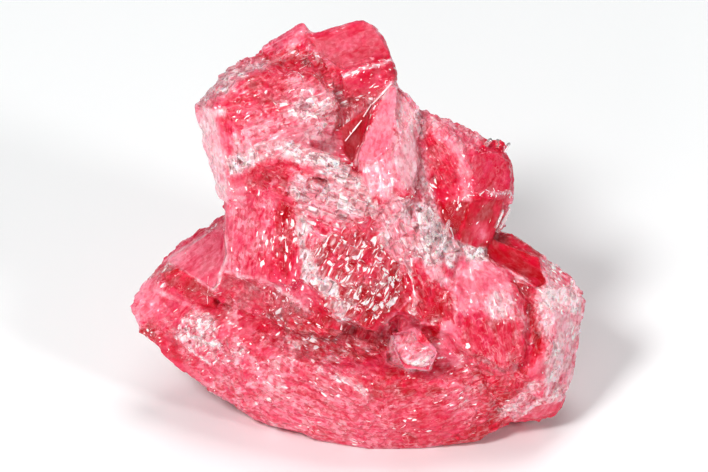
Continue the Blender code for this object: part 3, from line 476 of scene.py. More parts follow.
VEINS: tuple[Vein, ...] = (
    Vein("arch", ((-8.3, 19.9), (-6.4, 20.8), (-4.5, 20.9), (-2.2, 20.1), (0.0, 18.6), (1.1, 17.0)), 0.85,
        lift=0.08, torn=0.45, frost=0.9, smoke=0.28, rough=0.95, sparkle=0.6),
    Vein("crown_ridge", ((2.7, 27.3), (1.0, 26.8), (-0.8, 26.0)), 0.26, torn=0.85, frost=0.45,
        sparkle=1.0),
    # The four arm veins paint white streaks down the hump's left edge: partly frosted ridges, partly painted
    # highlights.
    Vein("upper_arm", ((-4.0, 17.6), (-3.4, 15.2), (-3.2, 12.4)), 0.7, lift=0.1, frost=0.92, rough=0.9,
        sparkle=0.7),
    Vein("lower_arm", ((-2.7, 12.6), (-1.9, 11.0), (-1.0, 9.3)), 0.65, lift=0.12, frost=0.95, rough=0.9,
        sparkle=0.9),
    Vein("arm_bar", ((-3.5, 13.9), (-3.45, 12.6), (-3.3, 11.7)), 0.34, lift=0.05, torn=0.25, frost=1.0,
        rough=0.9, sparkle=0.7),
    Vein("arm_foot", ((-1.7, 12.1), (-1.2, 10.5), (-0.7, 9.2)), 0.36, torn=0.35, frost=1.0, rough=0.9,
        sparkle=0.7),
    Vein("shoulder_glint", ((-9.8, 23.6), (-9.15, 23.8)), 0.42, torn=0.3, frost=0.9, rough=0.4),
    Vein("keel_crest", ((-2.4, 5.7), (-0.4, 4.6), (0.9, 3.7)), 0.5, lift=0.06, frost=0.6, sparkle=1.0),
    Vein("wing_strip", ((-9.05, 15.0), (-9.1, 13.4), (-9.8, 11.2)), 0.32, lift=0.03, torn=0.3, pale=0.8,
        frost=0.6),
    # Thin pale lines along the wing's facet edges: partly pale edges, partly painted edge highlights.
    Vein("wing_edge", ((-13.0, 12.9), (-11.3, 12.1), (-9.8, 11.1)), 0.16, torn=0.5, pale=0.7, frost=0.4),
    Vein("wing_rise", ((-13.4, 13.2), (-11.4, 14.6), (-9.3, 15.9)), 0.14, torn=0.6, pale=0.7, frost=0.3),
    Vein("wing_ray", ((-14.9, 11.2), (-13.2, 10.6), (-11.4, 9.9)), 0.22, torn=0.7, pale=0.55, frost=0.25),
    Vein("panel_foot", ((-8.9, 12.5), (-6.9, 12.2), (-4.6, 11.0), (-3.4, 9.4)), 0.22, torn=0.6, pale=0.7,
        frost=0.4),
    Vein("wedge_crest", ((3.0, 25.2), (2.8, 22.4), (2.5, 19.4), (2.1, 17.2)), 0.35, lift=0.06, pale=0.4,
        smoke=0.35),
    Vein("right_strip", ((6.5, 22.6), (7.4, 20.2), (8.1, 17.9)), 0.7, lift=0.05, pale=0.6, frost=0.35,
        sparkle=0.3),
    Vein("right_crest", ((6.8, 17.2), (8.0, 17.8), (9.6, 18.0), (11.0, 17.9)), 0.2, torn=0.9, frost=0.4,
        sparkle=0.9),
    Vein("pale_bar", ((5.0, 12.8), (7.0, 11.3)), 0.6, lift=0.05, pale=0.8, frost=0.2),
    Vein("body_edge", ((6.93, 13.2), (6.95, 10.6), (7.1, 8.0)), 0.2, torn=0.5, pale=0.6, frost=0.3),
    Vein("spike_left", ((2.6, 20.6), (3.2, 21.8), (3.75, 22.9)), 0.14, torn=0.3, pale=0.6, frost=0.7),
    Vein("spike_right", ((3.75, 22.9), (4.2, 21.6), (4.4, 19.4)), 0.14, torn=0.4, pale=0.6, frost=0.6),
    Vein("spike_core", ((3.7, 22.3), (3.4, 20.6), (3.5, 18.6)), 0.5, torn=0.5, pale=0.7, frost=0.25),
    Vein("wedge_dark", ((2.75, 24.9), (2.7, 23.6), (2.6, 22.2)), 0.16, torn=0.8, smoke=0.8, rough=0.8),
    Vein("wedge_side", ((2.45, 25.4), (1.4, 23.2), (0.35, 21.0), (0.1, 20.0)), 0.14, torn=0.5, pale=0.6,
        frost=0.5),
    Vein("wedge_right_side", ((3.1, 25.5), (3.8, 24.7), (4.4, 24.1)), 0.14, torn=0.5, pale=0.7,
        frost=0.4),
    Vein("groove_line", ((4.75, 23.6), (4.6, 21.4), (4.5, 19.2), (4.8, 17.0)), 0.22, torn=0.6, smoke=0.7,
        deep=0.3),
    Vein("corner_edge", ((13.1, 13.5), (15.3, 12.1), (16.0, 10.4)), 0.2, torn=0.6, pale=0.6, frost=0.4),
    Vein("corner_line", ((13.7, 10.0), (14.2, 7.4), (15.2, 6.4)), 0.16, torn=0.5, pale=0.6, frost=0.5),
    Vein("foot_edge", ((11.4, 2.0), (13.2, 3.2), (14.7, 3.5)), 0.16, torn=0.4, pale=0.7, frost=0.5),
    Vein("small_crystal_edge", ((9.8, 13.3), (11.0, 12.5), (12.7, 11.6)), 0.14, torn=0.6, pale=0.5,
        frost=0.4),
    Vein("crevice", ((11.2, 11.0), (12.3, 10.0), (12.9, 8.7), (12.7, 7.0), (12.3, 6.0)), 0.4, lift=-0.15,
        deep=0.9),
    Vein("curved_crack", ((3.6, 12.8), (4.1, 11.6), (4.2, 10.6), (3.9, 9.6)), 0.16, lift=0.06, frost=1.0,
        sparkle=0.6),
    Vein("foot_crease", ((8.7, 5.6), (9.4, 4.4), (10.1, 3.1)), 0.4, lift=-0.12, deep=0.7),
    Vein("body_ledge", ((6.8, 7.5), (8.2, 6.6), (10.6, 5.5)), 0.22, lift=-0.06, torn=0.5, deep=1.0,
        smoke=0.35),
    Vein("body_ledge_low", ((7.2, 7.0), (8.6, 5.9), (9.6, 5.4)), 0.16, torn=0.6, deep=1.0, smoke=0.3),
    Vein("keel_line_left", ((-8.4, 10.4), (-8.3, 6.5), (-8.1, 2.8)), 0.16, torn=0.5, pale=0.7,
        frost=0.25),
    Vein("keel_line_middle", ((-4.4, 7.5), (-4.45, 5.0), (-4.3, 2.4)), 0.13, torn=0.6, pale=0.6,
        frost=0.2),
    Vein("keel_bar", ((-7.8, 4.3), (-5.8, 4.9)), 0.17, torn=0.3, pale=0.8, frost=0.3),
    Vein("wing_glint_bar", ((-11.5, 7.9), (-10.6, 7.6), (-9.7, 7.5)), 0.26, lift=0.04, torn=0.5, frost=1.0,
        sparkle=0.8),
    Vein("wing_glint_line", ((-11.4, 6.9), (-10.8, 6.6), (-10.2, 5.9)), 0.16, torn=0.4, frost=0.9,
        sparkle=0.6),
    Vein("shoulder_seam", ((-8.8, 17.7), (-7.0, 17.9), (-5.0, 17.9)), 0.25, torn=0.9, pale=0.5,
        frost=0.3),
    # Along the plate's lower rim: partly a pale edge, partly a painted highlight.
    Vein("plate_rim", ((2.3, 6.2), (3.6, 5.6), (5.2, 5.6), (5.6, 6.9)), 0.18, torn=0.5, pale=0.5,
        frost=0.6, sparkle=0.4),
)


@dataclass(frozen=True)
class Facet:
    """A flat crystal face with a sharp outline: its tones, lift, flatness and tilt."""

    patch: Patch
    lift: float = 0.0
    flat: float = 0.92
    tilt: Pair | None = None


FACETS: tuple[Facet, ...] = (
    Facet(Patch("crown_face", ((-3.5, 29.2), (-0.5, 30.1), (1.1, 30.1), (2.3, 28.0), (2.2, 27.4),
        (-0.8, 26.6), (-2.5, 27.7)), deep=0.45, pale=0.2, smoke=0.12, rough=0.16, sparkle=0.1, soft=0.1),
        flat=0.95, tilt=(-0.1, 0.12)),
    Facet(Patch("recess_triangle", ((1.2, 24.2), (-1.0, 22.5), (-0.8, 20.9), (-0.2, 20.2), (0.4, 21.4)),
        deep=0.85, smoke=0.1, rough=0.12, sparkle=0.1, soft=0.1), tilt=(-0.22, 0.25)),
    Facet(Patch("wedge_left", ((2.5, 25.5), (0.4, 21.1), (0.2, 20.3), (1.2, 20.0), (2.3, 21.0),
        (2.75, 22.5), (2.95, 25.3)), deep=0.0, pale=0.6, frost=0.06, rough=0.2, sparkle=0.15, soft=0.1),
        lift=0.08),
    Facet(Patch("wedge_right", ((3.0, 25.4), (3.5, 24.9), (4.25, 24.0), (3.75, 22.9), (3.2, 21.8),
        (2.85, 22.4)), pale=0.85, frost=0.2, rough=0.3, sparkle=0.2, soft=0.1)),
    Facet(Patch("spike", ((3.75, 22.9), (4.25, 21.6), (4.4, 19.5), (3.9, 18.4), (2.9, 19.0), (2.6, 20.7)),
        pale=0.9, frost=0.25, rough=0.3, sparkle=0.2, soft=0.12), lift=0.15),
    Facet(Patch("wedge_foot", ((0.6, 19.9), (2.4, 20.6), (2.8, 19.0), (2.4, 17.6), (1.0, 17.9)), pale=0.75,
        frost=0.2, rough=0.35, sparkle=0.3, soft=0.25)),
    Facet(Patch("right_foot_dark", ((5.9, 16.9), (6.7, 17.4), (8.0, 17.4), (7.3, 15.3), (6.9, 15.2),
        (6.2, 15.9)), deep=1.0, rough=0.25, sparkle=0.35, soft=0.08)),
    Facet(Patch("right_foot_red", ((8.1, 17.4), (9.0, 17.5), (10.4, 17.5), (10.1, 15.9), (9.5, 14.5),
        (8.4, 14.1), (7.4, 14.7), (7.3, 15.3)), deep=0.75, rough=0.15, sparkle=0.2, soft=0.08)),
    # A painted highlight: a pale spot on the crimson facet.
    Facet(Patch("right_foot_highlight", ((8.5, 15.7), (9.1, 15.9), (9.3, 14.9), (8.7, 14.6)), pale=0.5,
        rough=0.15, soft=0.3), flat=0.0),
    Facet(Patch("right_face", ((8.0, 20.4), (9.2, 20.9), (10.3, 20.8), (10.9, 19.6), (10.9, 18.2),
        (8.3, 18.0)), deep=0.55, pale=0.1, rough=0.3, sparkle=0.15, soft=0.1)),
    Facet(Patch("wing_face", ((-13.2, 13.35), (-9.4, 15.8), (-9.0, 13.8), (-9.85, 11.3), (-12.6, 12.9)),
        deep=0.2, pale=0.32, rough=0.12, sparkle=0.1, soft=0.08)),
    Facet(Patch("wing_face_pale", ((-13.3, 13.3), (-12.2, 14.0), (-11.3, 12.5), (-12.7, 12.9)), pale=0.8,
        rough=0.12, soft=0.3), flat=0.0),
    Facet(Patch("wing_band", ((-13.6, 12.4), (-12.6, 12.8), (-9.9, 11.1), (-9.8, 9.9), (-11.4, 10.2),
        (-13.0, 11.6)), deep=0.8, rough=0.3, sparkle=0.2, soft=0.12)),
    Facet(Patch("small_crystal", ((9.17, 14.1), (9.6, 14.85), (12.95, 13.5), (13.1, 12.74), (13.44, 11.97),
        (13.33, 11.3), (12.7, 11.45), (11.4, 12.5), (10.07, 12.95), (9.2, 13.7)), deep=0.9, rough=0.12,
        sparkle=0.04, soft=0.07), lift=0.1, tilt=(-0.12, 0.2)),
    Facet(Patch("small_crystal_top", ((9.6, 14.85), (9.84, 15.3), (10.9, 15.5), (12.1, 14.9), (13.3, 13.7),
        (12.95, 13.5)), deep=0.85, smoke=0.15, rough=0.2, soft=0.07), flat=0.0),
    Facet(Patch("small_crystal_end", ((13.1, 13.6), (14.3, 12.9), (15.3, 12.2), (15.0, 11.5), (13.9, 11.2),
        (13.44, 11.8), (13.1, 12.74)), deep=0.35, pale=0.35, frost=0.15, rough=0.5, sparkle=0.4,
        soft=0.08), flat=0.5),
    Facet(Patch("plate", ((2.4, 8.2), (4.0, 8.3), (4.4, 7.6), (5.55, 6.9), (5.2, 5.6), (3.6, 5.6),
        (2.3, 6.2)), pale=0.6, frost=0.08, rough=0.5, sparkle=0.35, soft=0.12), flat=0.95),
    # The plate's lower edge painted white: partly a frosted edge, partly a painted highlight.
    Facet(Patch("plate_edge", ((3.4, 6.4), (4.4, 6.3), (5.2, 6.6), (5.2, 5.9), (4.6, 5.75), (3.6, 5.8)),
        frost=0.95, rough=0.5, sparkle=0.4, soft=0.15), flat=0.0),
    Facet(Patch("corner_top", ((12.7, 11.2), (13.6, 11.5), (15.1, 11.2), (15.9, 10.4), (15.7, 9.6),
        (13.6, 10.0)), pale=1.0, frost=0.6, rough=0.5, sparkle=0.6, soft=0.2)),
    Facet(Patch("corner_facet", ((13.7, 9.9), (15.5, 9.2), (15.2, 6.8), (14.3, 7.4)), pale=0.9, frost=0.3,
        rough=0.35, sparkle=0.3, soft=0.12)),
    Facet(Patch("foot_facet", ((11.6, 2.1), (13.0, 3.1), (14.4, 3.4), (14.1, 2.5), (12.8, 2.1)), deep=0.35,
        pale=0.2, rough=0.15, soft=0.1)),
    Facet(Patch("body_upper", ((7.2, 13.2), (9.0, 13.3), (10.4, 12.4), (10.8, 11.4), (9.4, 10.8),
        (7.2, 11.5)), pale=0.55, frost=0.08, rough=0.2, sparkle=0.15, soft=0.3), flat=0.6),
    Facet(Patch("body_lower", ((7.4, 9.1), (9.6, 9.0), (11.7, 8.9), (11.8, 6.4), (10.2, 5.9), (7.5, 7.4)),
        deep=0.6, pale=0.1, rough=0.3, sparkle=0.12, soft=0.25), flat=0.85),
    Facet(Patch("dark_triangle", ((4.7, 9.2), (6.7, 9.5), (6.8, 11.0), (5.5, 11.8)), deep=0.85, rough=0.3,
        sparkle=0.3, soft=0.12)),
    Facet(Patch("deep_facet", ((4.3, 7.6), (4.8, 8.8), (5.9, 8.7), (5.9, 7.5)), deep=0.75, rough=0.3,
        sparkle=0.2, soft=0.12), flat=0.0),
    Facet(Patch("panel_face", ((-8.8, 17.2), (-8.5, 12.9), (-7.0, 12.6), (-5.9, 13.9), (-5.6, 15.4),
        (-6.2, 17.3)), deep=0.35, pale=0.3, rough=0.4, sparkle=0.25, soft=0.7), flat=0.8),
    Facet(Patch("shoulder_side", ((-11.4, 23.6), (-10.1, 24.0), (-9.75, 22.9), (-9.3, 21.3), (-9.0, 18.5),
        (-8.9, 17.4), (-9.9, 17.6), (-10.6, 20.4)), pale=1.0, frost=0.3, smoke=0.08, rough=0.3, soft=0.12),
        flat=0.0),
)

INNER_FRONT = Patch("inner_front", (
    (-8.0, 21.0), (-6.0, 24.5), (-2.5, 26.4), (0.5, 26.6), (2.2, 25.6), (3.2, 24.2), (5.5, 22.4), (8.0, 20.5),
    (8.8, 17.8), (8.2, 15.4), (9.2, 13.0), (12.0, 9.5), (12.8, 6.0), (10.0, 2.8), (4.0, 1.8), (-4.0, 2.8),
    (-9.0, 5.4), (-12.4, 8.6), (-11.8, 11.2), (-9.3, 13.4), (-8.0, 16.6), (-7.9, 19.0)), soft=0.5)

DOMAINS: tuple[CrystalDomain, ...] = (
    CrystalDomain("crown", (-0.5, 28.0), 24.0, 0.45, 0.8),
    CrystalDomain("crown_recess", (-4.0, 27.0), 28.0, 0.3, 0.9),
    CrystalDomain("shoulder", (-6.0, 24.0), 18.0, 0.5, 0.8),
    CrystalDomain("shoulder_side", (-10.0, 21.0), 100.0, 0.35, 0.6),
    CrystalDomain("wedge", (2.6, 21.5), 96.0, 0.5, 0.5),
    CrystalDomain("right_shoulder", (6.0, 20.5), 118.0, 0.4, 0.8),
    CrystalDomain("right_shoulder_face", (9.4, 19.5), 62.0, 0.55, 0.7),
    CrystalDomain("right_shoulder_foot", (8.6, 16.0), 74.0, 0.5, 0.7),
    CrystalDomain("small_crystal", (11.6, 13.4), -33.0, 0.6, 0.5),
    CrystalDomain("right_body", (9.6, 9.6), 108.0, 0.5, 0.75),
    CrystalDomain("corner", (14.6, 8.0), 70.0, 0.45, 0.8),
    CrystalDomain("middle", (5.4, 14.4), 112.0, 0.45, 0.95),
    CrystalDomain("hump", (0.4, 12.0), 62.0, 0.5, 0.95),
    CrystalDomain("arch", (-3.0, 19.2), -20.0, 0.4, 0.9),
    CrystalDomain("panel", (-6.8, 15.2), 84.0, 0.6, 0.5),
    CrystalDomain("wing", (-11.6, 12.6), 34.0, 0.6, 0.65),
    CrystalDomain("keel_left", (-10.0, 7.0), 40.0, 0.45, 0.5),
    CrystalDomain("keel_middle", (-2.0, 4.0), -28.0, 0.45, 0.5),
    CrystalDomain("keel_right", (6.5, 3.5), 20.0, 0.45, 0.5),
)


@dataclass
class CrystalCluster:
    """The whole stone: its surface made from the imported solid, with its relief and its tones."""

    node: str = "rhodonite_cluster"
    slot: str = "rhodonite"
    voxel: float = 0.135
    most_triangles: int = 190000
    base_band: Pair = (0.15, 0.9)
    base_rough: float = 0.42
    deep_hollows: tuple[Triple, ...] = (
        (-3.0, 17.5, 1.5), (4.5, 19.4, 1.2), (4.0, 17.0, 0.9),
        (5.9, 12.9, 0.7), (-4.2, 27.6, 0.9), (-2.7, 18.6, 1.1),
    )
    fill_turns: int = 84
    outer_fill_turns: int = 36
    span_turns: int = 260
    fill_share: float = 0.8
    edge_share: float = 0.06
    wander: float = 0.35
    grain_sizes: tuple[float, ...] = (1.15, 0.52)
    grain_heights: tuple[float, ...] = (0.18, 0.12)
    ripple: float = 0.025
    flatten_limit: float = 0.8
    fit_rounds: int = 3
    fit_percent: float = 88.0
    normal_turns: int = 8
    patch_blend: float = 0.8
    vein_blend: float = 0.9
    main_streak_deg: float = 55.0
    tones: dict[Tone, np.ndarray] = field(default_factory=dict)
    streaks: np.ndarray = field(default_factory=lambda: np.zeros((0, 3)))

    def build(self) -> bpy.types.Object:
        """Make the stone.

        Returns:
            The finished object, at the origin.
        """
        mesh = self.remeshed_copy()
        self.fill_hollows(mesh)
        places, normals = self.read_mesh(mesh)
        self.mix_tones(places, normals)
        moved = self.cleave(places)
        moved = self.raise_veins(moved, places, normals)
        moved = self.roughen(moved, places, normals)
        moved = self.flatten(moved, normals)
        moved = self.keep_base(moved, places)
        mesh.vertices.foreach_set("co", (moved * MM).astype(np.float32).ravel())
        mesh.update()
        streaks = mesh.attributes.new(STREAK_NAME, "FLOAT_VECTOR", "POINT")
        streaks.data.foreach_set("vector", self.streaks.astype(np.float32).ravel())
        for tone, values in self.tones.items():
            attribute = mesh.attributes.new(tone.value, "FLOAT", "POINT")
            attribute.data.foreach_set("value", values.astype(np.float32))
        stone = bpy.data.objects.new("crystal_stone", mesh)
        bpy.context.scene.collection.objects.link(stone)
        self.thin(stone)
        stone.data.shade_flat()
        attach(stone, "root")
        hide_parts(self.node)
        LOG.info("stone: %d triangles", sum(len(face.vertices) - 2 for face in stone.data.polygons))
        return stone

    def remeshed_copy(self) -> bpy.types.Mesh:
        """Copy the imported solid's mesh and make it even.

        Returns:
            A closed mesh of even quads.
        """
        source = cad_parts[self.node]
        mesh = source.data.copy()
        mesh.name = "crystal_stone"
        mesh.materials.clear()
        bm = bmesh.new()
        bm.from_mesh(mesh)
        bmesh.ops.remove_doubles(bm, verts=bm.verts, dist=0.002 * MM)
        bm.to_mesh(mesh)
        bm.free()
        helper = bpy.data.objects.new("remesh_helper", mesh)
        bpy.context.scene.collection.objects.link(helper)
        remesh = helper.modifiers.new("even", "REMESH")
        remesh.mode = "VOXEL"
        remesh.voxel_size = self.voxel * MM
        depsgraph = bpy.context.evaluated_depsgraph_get()
        even = bpy.data.meshes.new_from_object(helper.evaluated_get(depsgraph))
        bpy.data.objects.remove(helper, do_unlink=True)
        even.name = "crystal_stone"
        return even

    def fill_hollows(self, mesh: bpy.types.Mesh) -> None:
        """Soften the crevices between crystals, and leave the outer edges sharp.

        Args:
            mesh: the even mesh, changed in place.
        """
        places, _ = self.read_mesh(mesh)
        ends = np.empty(len(mesh.edges) * 2, dtype=np.int32)
        mesh.edges.foreach_get("vertices", ends)
        first, second = ends.reshape(-1, 2).T
        links = neighbour_counts(len(places), first, second)
        hold = smooth_step(*self.base_band, places[:, 2])[:, None]
        spots = FRONT.read(places * MM)
        inner = INNER_FRONT.cover(spots[:, 0], spots[:, 1]) * smooth_step(-3.0, -1.0, spots[:, 2])
        for turn in range(self.fill_turns):
            if turn == self.outer_fill_turns:
                hold = hold * inner[:, None]
            if turn % self.normal_turns == 0:
                mesh.vertices.foreach_set("co", (places * MM).astype(np.float32).ravel())
                mesh.update()
                _, normals = self.read_mesh(mesh)
            pull = neighbour_sums(places, first, second) / links - places
            hollow = np.einsum("ij,ij->i", pull, normals)
            share = np.where(hollow > 0.0, self.fill_share, self.edge_share)[:, None]
            places = places + pull * share * hold
        for across, up, radius in self.deep_hollows:
            spots = FRONT.read(places * MM)
            near = np.hypot(spots[:, 0] - across, spots[:, 1] - up) < radius
            self.span(places, near & (spots[:, 2] > -2.0), first, second)
        mesh.vertices.foreach_set("co", (places * MM).astype(np.float32).ravel())
        mesh.update()

    def span(self, places: np.ndarray, chosen: np.ndarray, first: np.ndarray, second: np.ndarray) -> None:
        """Draw a part of the surface smooth across its hollow.

        Args:
            places: the vertices in millimetres, changed in place.
            chosen: which vertices move.
            first: each edge's first vertex.
            second: each edge's second vertex.
        """
        touching = chosen[first] | chosen[second]
        members, ends = np.unique(np.stack((first[touching], second[touching])), return_inverse=True)
        start, end = ends.reshape(2, -1)
        local = places[members]
        moves = chosen[members][:, None]
        links = neighbour_counts(len(members), start, end)
        for _ in range(self.span_turns):
            level = neighbour_sums(local, start, end) / links
            local = np.where(moves, local * 0.1 + level * 0.9, local)
        places[members] = local

    def read_mesh(self, mesh: bpy.types.Mesh) -> tuple[np.ndarray, np.ndarray]:
        """Read a mesh's vertices.

        Args:
            mesh: the mesh.

        Returns:
            Their places in millimetres and their normals.
        """
        count = len(mesh.vertices)
        places = np.empty(count * 3, dtype=np.float32)
        mesh.vertices.foreach_get("co", places)
        normals = np.empty(count * 3, dtype=np.float32)
        mesh.vertices.foreach_get("normal", normals)
        return places.reshape(-1, 3).astype(float) / MM, normals.reshape(-1, 3).astype(float)

    def mix_tones(self, places: np.ndarray, normals: np.ndarray) -> None:
        """Lay the patches and veins over the stone's natural variation.

        Args:
            places: the vertices in millimetres.
            normals: their normals.
        """
        spots = FRONT.read(places * MM)
        wander_across = (layered_noise(places, 1.6, 3, 41) - 0.5) * 2.0 * self.wander
        wander_up = (layered_noise(places, 1.6, 3, 57) - 0.5) * 2.0 * self.wander
        across, up = spots[:, 0] + wander_across, spots[:, 1] + wander_up
        facing = smooth_step(-0.5, -0.1, normals @ np.array(FRONT.out))
        clouds = layered_noise(places, 3.2, 4, 11)
        fine_clouds = layered_noise(places, 0.9, 3, 23)
        streaks = layered_noise(places @ self.streak_frame(), 1.0, 3, 71)
        crystals = crystal_cells(places + (clouds * 2.0)[:, None], 5.5, 907).random - 0.5
        cloud, fine, streak = clouds - 0.5, fine_clouds - 0.5, streaks - 0.5
        natural = {
            Tone.DEEP: 0.38 + crystals[:, 0] * 0.7 + cloud * 1.5 + fine * 0.6,
            Tone.PALE: 0.14 - crystals[:, 0] * 0.5 + streak * 1.3 - cloud * 0.8,
            Tone.FROST: (fine_clouds - 0.56) * 2.2 * smooth_step(0.4, 0.7, streaks),
            Tone.SMOKE: np.minimum((layered_noise(places, 2.6, 3, 93) - 0.62) * 2.0, 0.6),
            Tone.ROUGH: self.base_rough + crystals[:, 1] * 0.6 + cloud * 0.8,
            Tone.SPARKLE: 0.25 + crystals[:, 2] * 0.4 + fine * 1.2,
        }
        self.tones = {tone: np.clip(values, 0.0, 1.0) for tone, values in natural.items()}
        torn = smooth_step(0.36, 0.6, layered_noise(places, 0.85, 3, 131))
        for area in (*PATCHES, *VEINS):
            cover = area.cover(across, up) * facing
            if isinstance(area, Vein):
                cover = cover * (1.0 - area.torn + area.torn * torn)
            blend = cover * (self.vein_blend if isinstance(area, Vein) else self.patch_blend)
            for tone in Tone:
                wanted = getattr(area, tone.value)
                if wanted is None:
                    continue
                now = self.tones[tone]
                if tone is Tone.ROUGH or wanted > 0.0:
                    amount = 0.3 if tone is Tone.ROUGH else 1.7
                    mottle = (fine + cloud * 0.7) * amount * min(wanted + 0.1, 0.6)
                    now = now * (1.0 - blend) + blend * np.clip(wanted + mottle, 0.0, 1.0)
                else:
                    now = now * (1.0 - blend * 0.75)
                self.tones[tone] = now
        for facet in FACETS:
            cover = facet.patch.cover(spots[:, 0], spots[:, 1]) * facing
            for tone in Tone:
                wanted = getattr(facet.patch, tone.value)
                amount = 0.2 if tone is Tone.ROUGH else 1.2
                change = (fine + streak) * amount * min(wanted + 0.15, 0.6)
                value = np.clip(wanted + change, 0.0, 1.0)
                self.tones[tone] = self.tones[tone] * (1.0 - cover) + cover * value

    def streak_frame(self) -> np.ndarray:
        """Streaks along the front's main cleavage.

        Returns:
            The matrix that draws noise out into them.
        """
        turn = math.radians(self.main_streak_deg)
        along = (FRONT.up * math.sin(turn) + Vector((math.cos(turn), 0.0, 0.0))).normalized()
        side = along.cross(FRONT.out).normalized()
        return np.array((along * 0.35, side * 1.3, FRONT.out * 1.0)).T

    def cleave(self, places: np.ndarray) -> np.ndarray:
        """Break the surface into steps along each crystal's cleavage planes.

        Args:
            places: the vertices in millimetres.

        Returns:
            The moved vertices.
        """
        spots = FRONT.read(places * MM)
        centres = np.array([domain.centre for domain in DOMAINS])
        bend = np.stack([layered_noise(places, 4.0, 2, seed) - 0.5 for seed in (5, 6)], axis=1) * 2.0
        gaps = spots[:, None, :2] + bend[:, None, :] - centres[None, :, :]
        nearest = np.argmin(np.einsum("ijk,ijk->ij", gaps, gaps), axis=1)
        moved = places.copy()
        self.streaks = places.copy()
        rough = self.tones[Tone.ROUGH]
        wobble = layered_noise(places, 2.4, 3, 19)
        fine_wobble = layered_noise(places, 0.8, 2, 29)
        for index, domain in enumerate(DOMAINS):
            inside = nearest == index
            if not inside.any():
                continue
            turn = math.radians(domain.streak_deg)
            along = Vector((math.cos(turn), 0.0, 0.0)) + FRONT.up * math.sin(turn)
            side = along.cross(FRONT.out).normalized()
            drawn = np.array((along * 0.38, side, FRONT.out)).T
            self.streaks[inside] = places[inside] @ drawn + index * 7.3
            planes = (
                ((side * 0.62 + FRONT.out * 0.78).normalized(), domain.step, 1.0),
                ((side * 0.78 - FRONT.out * 0.62).normalized(), domain.step * 1.3, 0.9),
                (along.normalized(), domain.step * 2.6, 0.6),
            )
            for number, (plane, step, share) in enumerate(planes):
                normal = np.array(plane)
                level = moved[inside] @ normal / step
                level = level + (wobble[inside] - 0.5) * 2.2 + (fine_wobble[inside] - 0.5) * 0.5
                level = level + number * 0.37
                strength = domain.strength * share * np.clip(0.12 + rough[inside] * 0.95, 0.0, 1.0)
                moved[inside] += ((self.stair(level) - level) * step * strength)[:, None] * normal
        return moved

    def stair(self, level: np.ndarray) -> np.ndarray:
        """Flat treads with short steep risers between them."""
        tread = np.floor(level)
        return tread + smooth_step(0.4, 0.6, level - tread)

    def raise_veins(self, moved: np.ndarray, places: np.ndarray, normals: np.ndarray) -> np.ndarray:
        """Raise the crests and sink the crevices of the front.

        Args:
            moved: the vertices in millimetres.
            places: the vertices before the relief.
            normals: the normals before the relief.

        Returns:
            The moved vertices.
        """
        spots = FRONT.read(places * MM)
        facing = smooth_step(0.0, 0.35, normals @ np.array(FRONT.out))
        jag = layered_noise(places, 0.7, 2, 83)
        rise = np.zeros(len(places))
        for vein in VEINS:
            if vein.lift:
                rise += vein.cover(spots[:, 0], spots[:, 1]) * vein.lift * (0.5 + jag)
        return moved + (rise * facing)[:, None] * np.array(FRONT.out)

    def roughen(self, moved: np.ndarray, places: np.ndarray, normals: np.ndarray) -> np.ndarray:
        """Facet the surface into sugary grains, each with a tilt of its own.

        Args:
            moved: the vertices in millimetres.
            places: the vertices before the relief.
            normals: the normals before the relief.

        Returns:
            The moved vertices.
        """
        rough = self.tones[Tone.ROUGH]
        height = (layered_noise(places, 0.5, 2, 67) - 0.5) * self.ripple * 2.0
        for size, tall, seed in zip(self.grain_sizes, self.grain_heights, (301, 401)):
            cells = crystal_cells(moved, size, seed)
            tilt = (cells.random - 0.5) * 2.0
            slope = np.einsum("ij,ij->i", tilt, cells.offset) / size
            level = cells.random[:, 0] - 0.5
            height += (slope * 1.1 + level * 0.5) * tall * rough
        return moved + height[:, None] * normals

    def flatten(self, moved: np.ndarray, normals: np.ndarray) -> np.ndarray:
        """Draw each facet's vertices onto one plane.

        Args:
            moved: the vertices in millimetres.
            normals: the normals before the relief.

        Returns:
            The moved vertices.
        """
        facing = smooth_step(-0.1, 0.3, normals @ np.array(FRONT.out))
        for facet in FACETS:
            if not facet.flat:
                continue
            spots = FRONT.read(moved * MM)
            cover = facet.patch.cover(spots[:, 0], spots[:, 1]) * facing
            cover = cover * smooth_step(-4.0, -3.0, spots[:, 2])
            chosen = np.flatnonzero(cover > 0.6)
            for _ in range(self.fit_rounds):
                table = np.column_stack((np.ones(len(chosen)), spots[chosen, :2]))
                slope, *_ = np.linalg.lstsq(table, spots[chosen, 2], rcond=None)
                off = np.abs(spots[chosen, 2] - table @ slope)
                chosen = chosen[off <= np.percentile(off, self.fit_percent)]
            if facet.tilt:
                middle = spots[chosen].mean(axis=0)
                height = middle[2] - facet.tilt[0] * middle[0] - facet.tilt[1] * middle[1]
                slope = np.array((height, *facet.tilt))
            level = slope[0] + slope[1] * spots[:, 0] + slope[2] * spots[:, 1] + facet.lift
            change = np.clip(level - spots[:, 2], -self.flatten_limit, self.flatten_limit)
            change = change * cover * facet.flat
            moved = moved + (change * FRONT.scale)[:, None] * np.array(FRONT.out)
        return moved

    def keep_base(self, moved: np.ndarray, places: np.ndarray) -> np.ndarray:
        """Leave the flat resting face as the solid has it.

        Args:
            moved: the vertices in millimetres.
            places: the vertices before the relief.

        Returns:
            The moved vertices, none below the table.
        """
        share = smooth_step(*self.base_band, places[:, 2])[:, None]
        kept = places * (1.0 - share) + moved * share
        kept[:, 2] = np.maximum(kept[:, 2], 0.0)
        return kept

